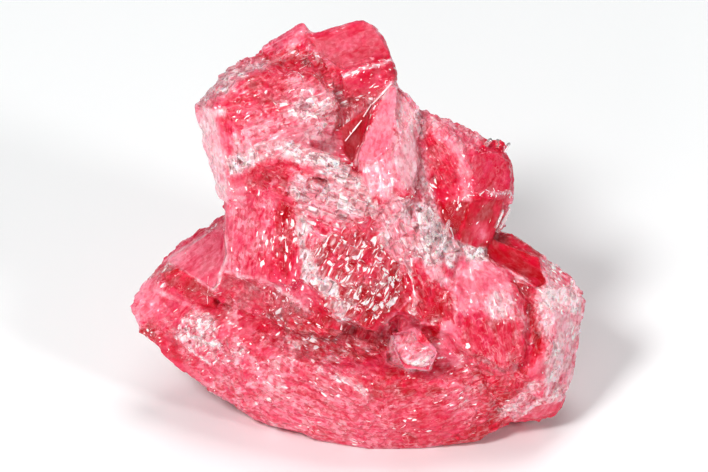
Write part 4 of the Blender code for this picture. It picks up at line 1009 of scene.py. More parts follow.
    def thin(self, stone: bpy.types.Object) -> None:
        """Bring the mesh under its limit of triangles, flat places first.

        Args:
            stone: the stone, whose mesh is changed.
        """
        count = sum(len(face.vertices) - 2 for face in stone.data.polygons)
        if count <= self.most_triangles:
            return
        decimate = stone.modifiers.new("thin", "DECIMATE")
        decimate.ratio = self.most_triangles / count
        depsgraph = bpy.context.evaluated_depsgraph_get()
        mesh = bpy.data.meshes.new_from_object(stone.evaluated_get(depsgraph))
        stone.modifiers.clear()
        old = stone.data
        stone.data = mesh
        bpy.data.meshes.remove(old)
        mesh.name = "crystal_stone"


class NodeSheet:
    """A node tree with short ways to add the nodes that the finishes use."""

    def __init__(self, tree: bpy.types.NodeTree) -> None:
        """Start on an existing tree."""
        self.tree = tree

    def add(self, kind: str, **settings: object) -> bpy.types.Node:
        """Add a node.

        Args:
            kind: Blender's name of the kind of node.
            settings: what is set on it.

        Returns:
            The node.
        """
        node = self.tree.nodes.new(kind)
        for name, value in settings.items():
            setattr(node, name, value)
        return node

    def feed(self, socket: bpy.types.NodeSocket, value: object) -> None:
        """Link a socket, or set it to a number or colour.

        Args:
            socket: the input.
            value: an output to link, a number, a colour, or None to leave the input as it is.
        """
        if isinstance(value, bpy.types.NodeSocket):
            self.tree.links.new(value, socket)
        elif value is not None:
            socket.default_value = value

    def math(self, operation: str, first: object, second: object = None,
             clamp: bool = False) -> bpy.types.NodeSocket:
        """A sum on one or two values.

        Args:
            operation: Blender's name of the sum.
            first: the first value.
            second: the second value, where the sum has one.
            clamp: whether the result is kept from 0 to 1.

        Returns:
            The result.
        """
        node = self.add("ShaderNodeMath", operation=operation, use_clamp=clamp)
        self.feed(node.inputs[0], first)
        self.feed(node.inputs[1], second)
        return node.outputs[0]

    def times(self, first: object, second: object) -> bpy.types.NodeSocket:
        """The product of two values."""
        return self.math("MULTIPLY", first, second)

    def mix(self, share: object, first: object, second: object) -> bpy.types.NodeSocket:
        """Two colours mixed.

        Args:
            share: how much of the second.
            first: the first colour, an output or three numbers.
            second: the second colour, an output or three numbers.

        Returns:
            The mixed colour.
        """
        node = self.add("ShaderNodeMix", data_type="RGBA", blend_type="MIX", clamp_factor=True)
        self.feed(node.inputs[0], share)
        for socket, colour in ((node.inputs[6], first), (node.inputs[7], second)):
            self.feed(socket, (*colour, 1.0) if isinstance(colour, tuple) else colour)
        return node.outputs[2]

    def reach(self, value: object, low: float, high: float, to_low: float = 0.0,
              to_high: float = 1.0) -> bpy.types.NodeSocket:
        """A value's range smoothly drawn out to another.

        Args:
            value: the value.
            low: where its range starts.
            high: where its range ends.
            to_low: what the start becomes.
            to_high: what the end becomes.

        Returns:
            The new value.
        """
        node = self.add("ShaderNodeMapRange", interpolation_type="SMOOTHSTEP")
        self.feed(node.inputs[0], value)
        for socket, number in zip(node.inputs[1:5], (low, high, to_low, to_high)):
            socket.default_value = number
        return node.outputs[0]

    def attribute(self, name: str) -> bpy.types.Node:
        """A node that reads one of the mesh's attributes."""
        return self.add("ShaderNodeAttribute", attribute_type="GEOMETRY", attribute_name=name)

    def tone(self, tone: Tone) -> bpy.types.NodeSocket:
        """The value of one of the stone's tones."""
        return self.attribute(tone.value).outputs["Fac"]

    def place(self) -> bpy.types.NodeSocket:
        """The place on the object."""
        return self.add("ShaderNodeTexCoord").outputs["Object"]

    def noise(self, place: object, scale: float, detail: float = 3.0,
              distortion: float = 0.0) -> bpy.types.NodeSocket:
        """Noise from 0 to 1.

        Args:
            place: where it is read.
            scale: how many lumps lie in a metre.
            detail: how many finer layers it has.
            distortion: how far it is bent.

        Returns:
            The noise.
        """
        node = self.add("ShaderNodeTexNoise")
        self.feed(node.inputs["Vector"], place)
        node.inputs["Scale"].default_value = scale
        node.inputs["Detail"].default_value = detail
        node.inputs["Distortion"].default_value = distortion
        return node.outputs["Fac"]


def start_material(name: str) -> tuple[bpy.types.Material, NodeSheet, bpy.types.Node]:
    """Start a material.

    Args:
        name: the material's name.

    Returns:
        The material, its node sheet and its shader.
    """
    material = bpy.data.materials.new(name)
    material.use_nodes = True
    return material, NodeSheet(material.node_tree), material.node_tree.nodes["Principled BSDF"]


def add_piece(name: str, bm: bmesh.types.BMesh) -> bpy.types.Object:
    """Turn finished geometry into a piece that rides on the stone.

    Args:
        name: the piece's name.
        bm: its geometry, which is freed.

    Returns:
        The piece.
    """
    mesh = bpy.data.meshes.new(name)
    bm.to_mesh(mesh)
    bm.free()
    piece = bpy.data.objects.new(name, mesh)
    bpy.context.scene.collection.objects.link(piece)
    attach(piece, "root")
    LOG.info("%s: %d faces", name, len(mesh.polygons))
    return piece


def build_glint_group() -> bpy.types.NodeTree:
    """A node group that turns the normal of each tiny crystal cell a little its own way.

    Returns:
        The group, with Strength and Scale in, and Normal and Cell out.
    """
    group = bpy.data.node_groups.new("tiny_crystal_facets", "ShaderNodeTree")
    for name, kind, value in (("Strength", "NodeSocketFloat", 0.3), ("Scale", "NodeSocketFloat", 3000.0)):
        socket = group.interface.new_socket(name=name, in_out="INPUT", socket_type=kind)
        socket.default_value = value
    group.interface.new_socket(name="Normal", in_out="OUTPUT", socket_type="NodeSocketVector")
    group.interface.new_socket(name="Cell", in_out="OUTPUT", socket_type="NodeSocketFloat")
    sheet = NodeSheet(group)
    start = sheet.add("NodeGroupInput")
    end = sheet.add("NodeGroupOutput")
    place = sheet.place()
    cells = sheet.add("ShaderNodeTexVoronoi", feature="F1")
    sheet.feed(cells.inputs["Vector"], place)
    sheet.feed(cells.inputs["Scale"], start.outputs["Scale"])
    centred = sheet.add("ShaderNodeVectorMath", operation="SUBTRACT")
    sheet.feed(centred.inputs[0], cells.outputs["Color"])
    centred.inputs[1].default_value = (0.5, 0.5, 0.5)
    turned = sheet.add("ShaderNodeVectorMath", operation="SCALE")
    sheet.feed(turned.inputs[0], centred.outputs[0])
    sheet.feed(turned.inputs["Scale"], start.outputs["Strength"])
    added = sheet.add("ShaderNodeVectorMath", operation="ADD")
    sheet.feed(added.inputs[0], sheet.add("ShaderNodeNewGeometry").outputs["Normal"])
    sheet.feed(added.inputs[1], turned.outputs[0])
    unit = sheet.add("ShaderNodeVectorMath", operation="NORMALIZE")
    sheet.feed(unit.inputs[0], added.outputs[0])
    sheet.feed(end.inputs["Normal"], unit.outputs[0])
    parts = sheet.add("ShaderNodeSeparateColor")
    sheet.feed(parts.inputs[0], cells.outputs["Color"])
    sheet.feed(end.inputs["Cell"], parts.outputs[0])
    return group


@dataclass(frozen=True)
class RhodoniteFinish:
    """Translucent pink-red crystal: crimson where it is clear, pale and white where it is broken, with
    painted glints and painted fine shade.
    """

    glints: bpy.types.NodeTree
    raspberry: Triple = (0.77, 0.045, 0.134)
    vivid: Triple = (0.70, 0.006, 0.060)
    crimson: Triple = (0.52, 0.0, 0.014)
    pale_pink: Triple = (0.96, 0.45, 0.54)
    frost_white: Triple = (0.99, 0.89, 0.90)
    smoke_grey: Triple = (0.48, 0.24, 0.27)
    shadow_red: Triple = (0.24, 0.002, 0.016)
    dark_speck: Triple = (0.09, 0.05, 0.06)
    glow_weight: float = 0.48
    glow_radius: Triple = (1.0, 0.22, 0.30)
    glow_depth: float = 1.4
    glint_and_grain_white: Triple = (1.0, 0.95, 0.95)
    grain_red: Triple = (0.45, 0.16, 0.2)
    cell_share: float = 0.45
    cell_scale: float = 4100.0
    facet_roughness: float = 0.07
    ripple_height: float = 0.07
    refraction: float = 1.5
    glint_and_break_layers: tuple[Pair, ...] = ((3.9, 0.75), (6.4, 0.7))
    crack_layers: tuple[Triple, ...] = ((0.9, 0.018, 0.35), (2.6, 0.045, 0.4))
    crack_cover: float = 0.52

    def build(self) -> bpy.types.Material:
        """Make the material.

        Returns:
            The stone's material.
        """
        material, sheet, shader = start_material("rhodonite_crystal")
        place = sheet.place()
        drawn = sheet.attribute(STREAK_NAME).outputs["Vector"]
        sparkle = sheet.tone(Tone.SPARKLE)
        facets = sheet.add("ShaderNodeGroup", node_tree=self.glints)
        cell = facets.outputs["Cell"]
        sheet.feed(shader.inputs["Base Color"], self.colour(sheet, place, drawn, cell))
        sheet.feed(facets.inputs["Strength"], sheet.reach(sparkle, 0.0, 1.0, 0.08, 0.9))
        facets.inputs["Scale"].default_value = self.cell_scale
        bright = sheet.math("GREATER_THAN", cell, sheet.reach(sparkle, 0.0, 1.0, 0.9, 0.45))
        matt = sheet.reach(sheet.tone(Tone.ROUGH), 0.0, 1.0, 0.16, 0.42)
        gloss = sheet.times(bright, sheet.math("SUBTRACT", matt, self.facet_roughness))
        sheet.feed(shader.inputs["Roughness"], sheet.math("SUBTRACT", matt, gloss))
        shader.inputs["IOR"].default_value = self.refraction
        shader.inputs["Subsurface Weight"].default_value = self.glow_weight
        shader.inputs["Subsurface Radius"].default_value = self.glow_radius
        shader.inputs["Subsurface Scale"].default_value = self.glow_depth * MM
        sheet.feed(shader.inputs["Normal"], self.normal(sheet, place, facets.outputs["Normal"]))
        return material

    def spread(self, sheet: NodeSheet, tone: Tone, place: object, scale: float,
               contrast: float) -> bpy.types.NodeSocket:
        """A tone with its edges broken up by fine noise.

        Args:
            sheet: the material's nodes.
            tone: which tone.
            place: where the noise is read.
            scale: how fine the noise is.
            contrast: how strong it is.

        Returns:
            The tone, from 0 to 1.
        """
        shifted = sheet.times(sheet.math("SUBTRACT", sheet.noise(place, scale, 4.0, 0.9), 0.5), contrast)
        share = sheet.tone(tone)
        gain = sheet.times(shifted, sheet.reach(share, 0.0, 0.3, 0.25, 1.0))
        gain = sheet.times(gain, sheet.reach(sheet.tone(Tone.ROUGH), 0.1, 0.4, 0.7, 1.15))
        return sheet.math("ADD", share, gain, clamp=True)

    def colour(self, sheet: NodeSheet, place: object, drawn: object, cell: object) -> bpy.types.NodeSocket:
        """The stone's colour from its tones, cracks, streaks and specks, with painted glints and painted fine
        shade.

        Args:
            sheet: the material's nodes.
            place: the place on the stone.
            drawn: the place drawn out along each crystal's streaks.
            cell: the random number of each tiny crystal cell.

        Returns:
            The colour.
        """
        frost = self.spread(sheet, Tone.FROST, drawn, 2.9, 1.2)
        smoke = self.spread(sheet, Tone.SMOKE, place, 1300.0, 0.6)
        deep = self.spread(sheet, Tone.DEEP, drawn, 1.3, 1.5)
        pale = self.spread(sheet, Tone.PALE, drawn, 2.2, 1.7)
        rough = sheet.tone(Tone.ROUGH)
        coarse = sheet.times(rough, rough)
        body = sheet.mix(sheet.reach(deep, 0.15, 0.6), self.raspberry, self.vivid)
        body = sheet.mix(sheet.reach(deep, 0.6, 1.0), body, self.crimson)
        body = sheet.mix(sheet.times(pale, 0.9), body, self.pale_pink)
        body = sheet.mix(self.cracks(sheet, place, drawn), body, self.frost_white)
        grain = sheet.reach(rough, 0.1, 0.6, 0.3, 1.0)
        light_cells = sheet.times(sheet.reach(cell, 0.66, 0.72), sheet.reach(pale, 0.0, 0.5, 0.12, 0.5))
        body = sheet.mix(sheet.times(light_cells, grain), body, self.pale_pink)
        dark_cells = sheet.times(sheet.reach(cell, 0.3, 0.36, 1.0, 0.0), self.cell_share)
        body = sheet.mix(sheet.times(dark_cells, grain), body, self.crimson)
        # fine white crumbs: partly frosted grains, partly painted glints
        crumb_glints = sheet.reach(sheet.noise(drawn, 5.2, 3.0, 0.8), 0.5, 0.6)
        crumb_glint_share = sheet.math("ADD", sheet.times(sheet.times(pale, rough), 0.5), sheet.times(coarse, 0.4))
        body = sheet.mix(sheet.times(crumb_glints, crumb_glint_share), body, self.frost_white)
        # painted glints, partly white breaks in the crystal
        body = sheet.mix(self.painted_glints_and_breaks(sheet, drawn), body, self.glint_and_grain_white)
        body = sheet.mix(sheet.times(smoke, 0.7), body, self.smoke_grey)
        body = sheet.mix(sheet.times(frost, 0.95), body, self.frost_white)
        smooth = sheet.reach(rough, 0.1, 0.6, 0.15, 1.0)
        broken = sheet.math("ADD", sheet.times(frost, 0.9), sheet.times(smoke, 0.4), clamp=True)
        broken = sheet.times(broken, smooth)
        white_grains = sheet.times(sheet.reach(cell, 0.62, 0.7), sheet.times(broken, 0.9))
        body = sheet.mix(white_grains, body, self.glint_and_grain_white)
        dark_grains = sheet.times(sheet.reach(cell, 0.2, 0.3, 1.0, 0.0), sheet.times(broken, 0.55))
        body = sheet.mix(dark_grains, body, self.grain_red)
        shade = sheet.reach(sheet.noise(drawn, 4.4, 3.0, 0.5), 0.53, 0.63)
        shade_share = sheet.math("ADD", sheet.times(coarse, 0.5), sheet.times(frost, 0.35))
        body = sheet.mix(sheet.times(shade, shade_share), body, self.shadow_red)
        specks = sheet.reach(sheet.noise(place, 4600.0, 2.0, 0.6), 0.585, 0.64)
        grey = sheet.math("ADD", sheet.times(smoke, 0.65), sheet.times(frost, 0.2), clamp=True)
        return sheet.mix(sheet.times(specks, sheet.times(grey, smooth)), body, self.dark_speck)

    def painted_glints_and_breaks(self, sheet: NodeSheet, drawn: object) -> bpy.types.NodeSocket:
        """Small angular white marks, partly white breaks and partly painted glints, more of them where the
        stone sparkles.

        Args:
            sheet: the material's nodes.
            drawn: the place drawn out along each crystal's streaks.

        Returns:
            How white each place is.
        """
        bent = sheet.add("ShaderNodeTexNoise")
        sheet.feed(bent.inputs["Vector"], drawn)
        bent.inputs["Scale"].default_value = 2.6
        bent.inputs["Detail"].default_value = 2.0
        lean = sheet.add("ShaderNodeVectorMath", operation="MULTIPLY_ADD")
        sheet.feed(lean.inputs[0], bent.outputs["Color"])
        lean.inputs[1].default_value = (0.45, 0.45, 0.45)
        sheet.feed(lean.inputs[2], drawn)
        longer = sheet.add("ShaderNodeVectorMath", operation="MULTIPLY")
        sheet.feed(longer.inputs[0], lean.outputs[0])
        longer.inputs[1].default_value = (1.1, 1.0, 1.0)
        marks = []
        for scale, least in self.glint_and_break_layers:
            cells = sheet.add("ShaderNodeTexVoronoi", feature="F1")
            sheet.feed(cells.inputs["Vector"], longer.outputs[0])
            cells.inputs["Scale"].default_value = scale
            parts = sheet.add("ShaderNodeSeparateColor")
            sheet.feed(parts.inputs[0], cells.outputs["Color"])
            limit = sheet.reach(sheet.tone(Tone.SPARKLE), 0.1, 1.0, 1.0, least)
            chosen = sheet.math("GREATER_THAN", parts.outputs[0], limit)
            marks.append(sheet.times(chosen, sheet.reach(cells.outputs["Distance"], 0.36, 0.6, 1.0, 0.0)))
        return sheet.times(sheet.math("MAXIMUM", *marks), 0.95)

    def cracks(self, sheet: NodeSheet, place: object, drawn: object) -> bpy.types.NodeSocket:
        """Thin pale cleavage cracks, drawn out along each crystal's own direction.

        Args:
            sheet: the material's nodes.
            place: the place on the stone.
            drawn: the place drawn out along each crystal's streaks.

        Returns:
            How pale each place is.
        """
        lines = []
        for scale, width, strength in self.crack_layers:
            noise = sheet.noise(drawn, scale, 4.0, 0.35)
            off_line = sheet.math("ABSOLUTE", sheet.math("SUBTRACT", noise, 0.5))
            kept = sheet.reach(sheet.noise(place, 330.0 * scale), self.crack_cover, self.crack_cover + 0.12)
            lines.append(sheet.times(sheet.reach(off_line, 0.0, width, strength, 0.0), kept))
        share = sheet.reach(sheet.tone(Tone.ROUGH), 0.04, 0.45, 0.0, 1.0)
        return sheet.times(sheet.math("MAXIMUM", *lines), share)

    def normal(self, sheet: NodeSheet, place: object, facets: object) -> bpy.types.NodeSocket:
        """Fine ripples over the facets.

        Args:
            sheet: the material's nodes.
            place: the place on the stone.
            facets: the normal that the tiny crystal cells give.

        Returns:
            The normal.
        """
        bump = sheet.add("ShaderNodeBump")
        sheet.feed(bump.inputs["Strength"], sheet.reach(sheet.tone(Tone.ROUGH), 0.0, 1.0, 0.12, 0.55))
        bump.inputs["Distance"].default_value = self.ripple_height * MM
        sheet.feed(bump.inputs["Height"], sheet.noise(place, 6500.0, 4.0, 0.3))
        sheet.feed(bump.inputs["Normal"], facets)
        return bump.outputs["Normal"]


@dataclass(frozen=True)
class FlakeFinish:
    """Clean cleavage flakes that catch the light."""

    tint: Triple = (0.95, 0.40, 0.48)
    white: Triple = (1.0, 0.90, 0.92)
    glow_weight: float = 0.4
    glow_radius: Triple = (1.0, 0.5, 0.55)
    glow_depth: float = 0.4
    refraction: float = 1.65

    def build(self) -> bpy.types.Material:
        """Make the material.

        Returns:
            The flakes' material.
        """
        material, sheet, shader = start_material("cleavage_flake")
        place = sheet.place()
        shade = sheet.reach(sheet.noise(place, 900.0, 3.0), 0.4, 0.62)
        sheet.feed(shader.inputs["Base Color"], sheet.mix(shade, self.tint, self.white))
        gloss = sheet.noise(place, 2500.0, 2.0)
        sheet.feed(shader.inputs["Roughness"], sheet.reach(gloss, 0.3, 0.7, 0.08, 0.3))
        shader.inputs["IOR"].default_value = self.refraction
        shader.inputs["Subsurface Weight"].default_value = self.glow_weight
        shader.inputs["Subsurface Radius"].default_value = self.glow_radius
        shader.inputs["Subsurface Scale"].default_value = self.glow_depth * MM
        return material


@dataclass
class CleavageFlakes:
    """Small flat flakes that lie on the broken faces."""

    count: int = 1050
    lengths: Pair = (0.09, 0.27)
    length_bias: float = 2.6
    thickness: float = 0.05
    kinds: int = 6
    lean_deg: float = 15.0
    stray_deg: float = 16.0
    float_height: float = 0.012
    seed: int = 5

    def build(self, stone: bpy.types.Object) -> bpy.types.Object:
        """Strew the flakes over the stone.

        Args:
            stone: the finished stone.

        Returns:
            One object that holds all flakes.
        """
        random = np.random.default_rng(self.seed)
        shapes = [self.shape(random) for _ in range(self.kinds)]
        places, normals, shares = self.landing_spots(stone, random)
        least, most = self.lengths
        bm = bmesh.new()
        for place, normal, share in zip(places, normals, shares):
            length = least + (most - least) * random.random() ** self.length_bias
            before = len(bm.verts)
            bm.from_mesh(shapes[random.integers(self.kinds)])
            bm.verts.ensure_lookup_table()
            fresh = bm.verts[before:]
            matrix = self.pose(Vector(place), Vector(normal), length * (0.75 + 0.2 * share), random)
            bmesh.ops.transform(bm, matrix=matrix, verts=fresh)
        return add_piece("cleavage_flakes", bm)

    def shape(self, random: np.random.Generator) -> bpy.types.Mesh:
        """Make one flat, ragged flake about a unit long.

        Args:
            random: the source of chance.

        Returns:
            The flake's mesh.
        """
        bm = bmesh.new()
        corners = int(random.integers(4, 7))
        bmesh.ops.create_cone(bm, cap_ends=True, segments=corners, radius1=0.5, radius2=0.38, depth=1.0)
        for vertex in bm.verts:
            vertex.co.x *= 1.0 + random.uniform(-0.3, 0.25)
            vertex.co.y *= random.uniform(0.25, 0.5)
        mesh = bpy.data.meshes.new("flake_shape")
        bm.to_mesh(mesh)
        bm.free()
        return mesh

    def landing_spots(self, stone: bpy.types.Object,
                      random: np.random.Generator) -> tuple[np.ndarray, np.ndarray, np.ndarray]:
        """Where flakes lie: mostly where the stone sparkles or is frosted.

        Args:
            stone: the finished stone.
            random: the source of chance.

        Returns:
            Places, normals and how strongly each place sparkles.
        """
        mesh = stone.data
        count = len(mesh.polygons)
        centres = np.empty(count * 3, dtype=np.float32)
        mesh.polygons.foreach_get("center", centres)
        normals = np.empty(count * 3, dtype=np.float32)
        mesh.polygons.foreach_get("normal", normals)
        areas = np.empty(count, dtype=np.float32)
        mesh.polygons.foreach_get("area", areas)
        first = np.empty(count, dtype=np.int32)
        mesh.polygons.foreach_get("loop_start", first)
        corners = np.empty(len(mesh.loops), dtype=np.int32)
        mesh.loops.foreach_get("vertex_index", corners)
        values = {}
        for tone in (Tone.SPARKLE, Tone.FROST):
            read = np.empty(len(mesh.vertices), dtype=np.float32)
            mesh.attributes[tone.value].data.foreach_get("value", read)
            values[tone] = read[corners[first]]
        liking = np.minimum(values[Tone.SPARKLE], 0.8) ** 3.0 + 0.15 * values[Tone.FROST] + 0.006
        centres, normals = centres.reshape(-1, 3), normals.reshape(-1, 3)
        liking = liking * areas * (centres[:, 2] > 0.8 * MM)
        chosen = random.choice(count, size=self.count, replace=False, p=liking / liking.sum())
        return centres[chosen], normals[chosen], values[Tone.SPARKLE][chosen]

    def heading(self, place: Vector) -> float:
        """The direction of the streaks that a flake lies on.

        Args:
            place: the flake's place in metres.

        Returns:
            The direction in radians.
        """
        spot = FRONT.read(np.array([place]))[0]
        nearest = min(DOMAINS, key=lambda domain: math.dist(domain.centre, spot[:2]))
        return math.radians(nearest.streak_deg)

    def pose(self, place: Vector, normal: Vector, length: float, random: np.random.Generator) -> Matrix:
        """The place, lean and size of one flake.

        Args:
            place: where it lies, in metres.
            normal: the stone's normal there.
            length: its length in millimetres.
            random: the source of chance.

        Returns:
            The matrix that sets it there.
        """
        lean = math.radians(self.lean_deg) * random.random()
        tilt = Matrix.Rotation(lean, 4, Vector(random.normal(size=3)).normalized())
        turn = self.heading(place) + random.normal() * math.radians(self.stray_deg)
        spin = Matrix.Rotation(turn, 4, "Z")
        upright = normal.to_track_quat("Z", "Y").to_matrix().to_4x4()
        size = Matrix.Diagonal((length * MM, length * MM, self.thickness * MM, 1.0))
        return Matrix.Translation(place + normal * self.float_height * MM) @ tilt @ upright @ spin @ size


class SurfaceFinder:
    """Finds the stone's surface under a point of its front."""

    def __init__(self, stone: bpy.types.Object) -> None:
        """Build the search tree of the stone."""
        self.tree = BVHTree.FromPolygons([v.co for v in stone.data.vertices],
                                         [p.vertices for p in stone.data.polygons])

    def find(self, across: float, up: float, sink: float = 0.0) -> tuple[Vector, Vector]:
        """The surface's place and normal under a point.

        Args:
            across: millimetres to the right on the front.
            up: millimetres up the front.
            sink: millimetres below the surface.

        Returns:
            The place in metres and the normal.
        """
        start = FRONT.place(across, up, 40.0)
        place, normal, _, _ = self.tree.ray_cast(start, -FRONT.out)
        if place is None:
            place, normal, _, _ = self.tree.find_nearest(FRONT.place(across, up, 2.0))
        return place - FRONT.out * sink * MM, normal


class SliverKind(Enum):
    """How a sliver looks: a pale sliver, partly a cleavage edge and partly a painted highlight, or a
    near-black sliver that is painted shadow in a gap.
    """

    BRIGHT = "pale_edge_and_highlight"
    DARK = "painted_gap_shadow"


@dataclass(frozen=True)
class SliverLine:
    """A row of thin slivers along a line on the front."""

    path: tuple[Pair, ...]
    width: float
    piece: float
    kind: SliverKind = SliverKind.BRIGHT
    stray: float = 0.03
    lift: float = 0.0


SLIVER_LINES: tuple[SliverLine, ...] = (
    # The first three rows make the bright line in the slit beside the wedge: a painted highlight.
    SliverLine(((-0.69, 21.6), (0.42, 23.0)), 0.13, 1.2, stray=0.01, lift=0.12),
    SliverLine(((0.58, 23.3), (1.1, 24.1)), 0.14, 0.8, stray=0.01, lift=0.2),
    SliverLine(((1.2, 24.15), (2.47, 25.56)), 0.28, 1.4, stray=0.01, lift=0.22),
    SliverLine(((3.6, 12.7), (4.05, 11.6), (4.15, 10.6), (3.9, 9.7)), 0.10, 0.6),
    SliverLine(((-7.9, 23.0), (-6.9, 23.9)), 0.16, 0.5, stray=0.12),
    SliverLine(((-4.6, 26.2), (-3.4, 26.9), (-2.3, 27.5)), 0.07, 0.45, stray=0.12),
    SliverLine(((-5.0, 26.6), (-3.7, 27.4), (-2.6, 27.9)), 0.06, 0.4, stray=0.1),
    SliverLine(((-4.7, 24.9), (-4.0, 25.5)), 0.09, 0.45, stray=0.08),
    SliverLine(((-10.3, 12.2), (-10.35, 10.2)), 0.06, 0.7),
    # These two rows dot the crests with painted glints.
    SliverLine(((6.8, 17.25), (8.0, 17.85), (9.6, 18.0), (11.0, 17.9)), 0.09, 0.22, stray=0.14),
    SliverLine(((2.6, 27.3), (1.0, 26.8), (-0.8, 26.0)), 0.09, 0.22, stray=0.14),
    SliverLine(((5.1, 17.1), (5.6, 16.2)), 0.3, 0.9, stray=0.06),
    SliverLine(((6.6, 15.6), (7.0, 14.3)), 0.3, 1.0, stray=0.06),
    SliverLine(((6.2, 15.3), (6.4, 14.4)), 0.22, 0.7, stray=0.08),
    SliverLine(((4.9, 14.1), (5.25, 13.3)), 0.26, 0.8, stray=0.06),
    SliverLine(((4.5, 16.6), (4.6, 15.6)), 0.2, 0.8, stray=0.08),
    SliverLine(((3.8, 13.9), (4.0, 13.1)), 0.22, 0.7, stray=0.1),
    # Near-black slivers: painted shadow in two small gaps.
    SliverLine(((5.35, 6.45), (5.75, 6.9)), 0.09, 0.5, SliverKind.DARK),
    SliverLine(((13.85, 5.4), (14.2, 5.6)), 0.07, 0.4, SliverKind.DARK),
)


@dataclass
class EdgeSlivers:
    """Thin splinters that stand along crystal edges and cracks: pale ones are partly painted highlights,
    near-black ones are painted shadow in gaps.
    """

    kind: SliverKind
    lines: tuple[SliverLine, ...] = SLIVER_LINES
    seed: int = 12

    def build(self, finder: SurfaceFinder) -> bpy.types.Object:
        """Set the slivers on the stone.

        Args:
            finder: what tells the stone's surface.

        Returns:
            One object with all slivers of this kind.
        """
        random = np.random.default_rng(self.seed)
        bm = bmesh.new()
        for line in self.lines:
            if line.kind is not self.kind:
                continue
            for (x0, y0), (x1, y1) in zip(line.path, line.path[1:]):
                count = max(1, round(math.hypot(x1 - x0, y1 - y0) / (line.piece * 0.8)))
                for number in range(count):
                    ends = []
                    for share in (number / count, (number + 1.1) / count):
                        stray = random.normal(size=2) * line.stray
                        across = x0 + (x1 - x0) * share + stray[0]
                        up = y0 + (y1 - y0) * share + stray[1]
                        ends.append(finder.find(across, up, line.width * 0.15 - line.lift))
                    self.add_sliver(bm, ends, line.width * random.uniform(0.6, 1.2))
        return add_piece(self.kind.value, bm)

    def add_sliver(self, bm: bmesh.types.BMesh, ends: Sequence[tuple[Vector, Vector]], width: float) -> None:
        """Add one splinter between two places.

        Args:
            bm: the mesh that it joins.
            ends: the place and normal at each end.
            width: its width in millimetres.
        """
        (start, normal), (end, _) = ends
        run = end - start
        made = bmesh.ops.create_cone(bm, cap_ends=True, segments=5, radius1=0.5, radius2=0.32, depth=1.0)
        side = run.cross(normal).normalized()
        rise = side.cross(run).normalized()
        turn = Matrix((side, rise, run.normalized())).transposed().to_4x4()
        size = Matrix.Diagonal((width * MM, width * MM * 0.7, run.length, 1.0))
        pose = Matrix.Translation((start + end) / 2) @ turn @ size
        bmesh.ops.transform(bm, matrix=pose, verts=made["verts"])


@dataclass(frozen=True)
class ClearShard:
    """A small clear splinter of crystal: where it is rooted, which way it points and its size."""

    name: str
    root: Triple
    tip: Triple
    width: float
    depth: float


CLEAR_SHARDS: tuple[ClearShard, ...] = (
    ClearShard("foot_blade", (9.9, 15.3, 1.2), (10.75, 16.8, 1.4), 0.55, 0.5),
    ClearShard("foot_blade_small", (9.75, 15.6, 1.6), (10.3, 16.7, 1.8), 0.42, 0.35),
    ClearShard("shoulder_nub_left", (9.1, 21.3, 0.6), (9.5, 21.75, 0.7), 0.42, 0.5),
    ClearShard("shoulder_nub_middle", (9.9, 21.2, 0.6), (10.0, 21.72, 0.7), 0.4, 0.45),
    ClearShard("shoulder_nub_right", (10.4, 20.9, 0.6), (10.8, 21.45, 0.6), 0.34, 0.45),
    ClearShard("spike_left", (4.5, 15.2, 4.2), (4.9, 16.9, 4.9), 0.42, 0.4),
    ClearShard("spike_middle", (5.3, 14.6, 4.3), (5.5, 16.4, 4.9), 0.5, 0.42),
    ClearShard("spike_right", (6.1, 14.2, 3.9), (6.5, 15.9, 4.3), 0.42, 0.4),
    ClearShard("spike_low", (5.5, 13.2, 4.4), (6.2, 14.8, 4.7), 0.5, 0.4),
)


@dataclass
class ClearShards:
    """Clear splinters that stand out of the right side and the frosted hollow."""

    shards: tuple[ClearShard, ...] = CLEAR_SHARDS
    sink: float = 0.15

    def build(self, finder: SurfaceFinder) -> bpy.types.Object:
        """Set the shards on the stone.

        Args:
            finder: what tells the stone's surface.

        Returns:
            One object with all shards.
        """
        bm = bmesh.new()
        for shard in self.shards:
            root, _ = finder.find(shard.root[0], shard.root[1], self.sink)
            lean = FRONT.place(*shard.tip) - FRONT.place(*shard.root)
            tip = root + lean
            made = bmesh.ops.create_cone(bm, cap_ends=True, segments=6, radius1=0.5, radius2=0.4, depth=1.0)
            verts = made["verts"]
            crown = [face for face in bm.faces if set(face.verts) <= set(verts) and len(face.verts) == 6]
            top = max(crown, key=lambda face: face.calc_center_median().z)
            poked = bmesh.ops.inset_region(bm, faces=[top], thickness=0.22, depth=0.14)
            verts = list({vertex for face in poked["faces"] for vertex in face.verts} | set(verts))
            side = lean.cross(FRONT.out).normalized()
            front = side.cross(lean).normalized()
            turn = Matrix((side, front, lean.normalized())).transposed().to_4x4()
            size = Matrix.Diagonal((shard.width * MM, shard.depth * MM, lean.length, 1.0))
            bmesh.ops.transform(bm, matrix=Matrix.Translation((root + tip) / 2) @ turn @ size, verts=verts)
        return add_piece("clear_shards", bm)


@dataclass(frozen=True)
class ClearFinish:
    """Nearly colourless clear crystal."""

    tint: Triple = (0.99, 0.90, 0.91)
    clearness: float = 0.8
    refraction: float = 1.55

    def build(self) -> bpy.types.Material:
        """Make the material.

        Returns:
            The shards' material.
        """
        material, sheet, shader = start_material("clear_crystal")
        place = sheet.place()
        shader.inputs["Base Color"].default_value = (*self.tint, 1.0)
        gloss = sheet.noise(place, 2600.0, 3.0)
        sheet.feed(shader.inputs["Roughness"], sheet.reach(gloss, 0.45, 0.7, 0.04, 0.35))
        shader.inputs["IOR"].default_value = self.refraction
        shader.inputs["Transmission Weight"].default_value = self.clearness
        return material


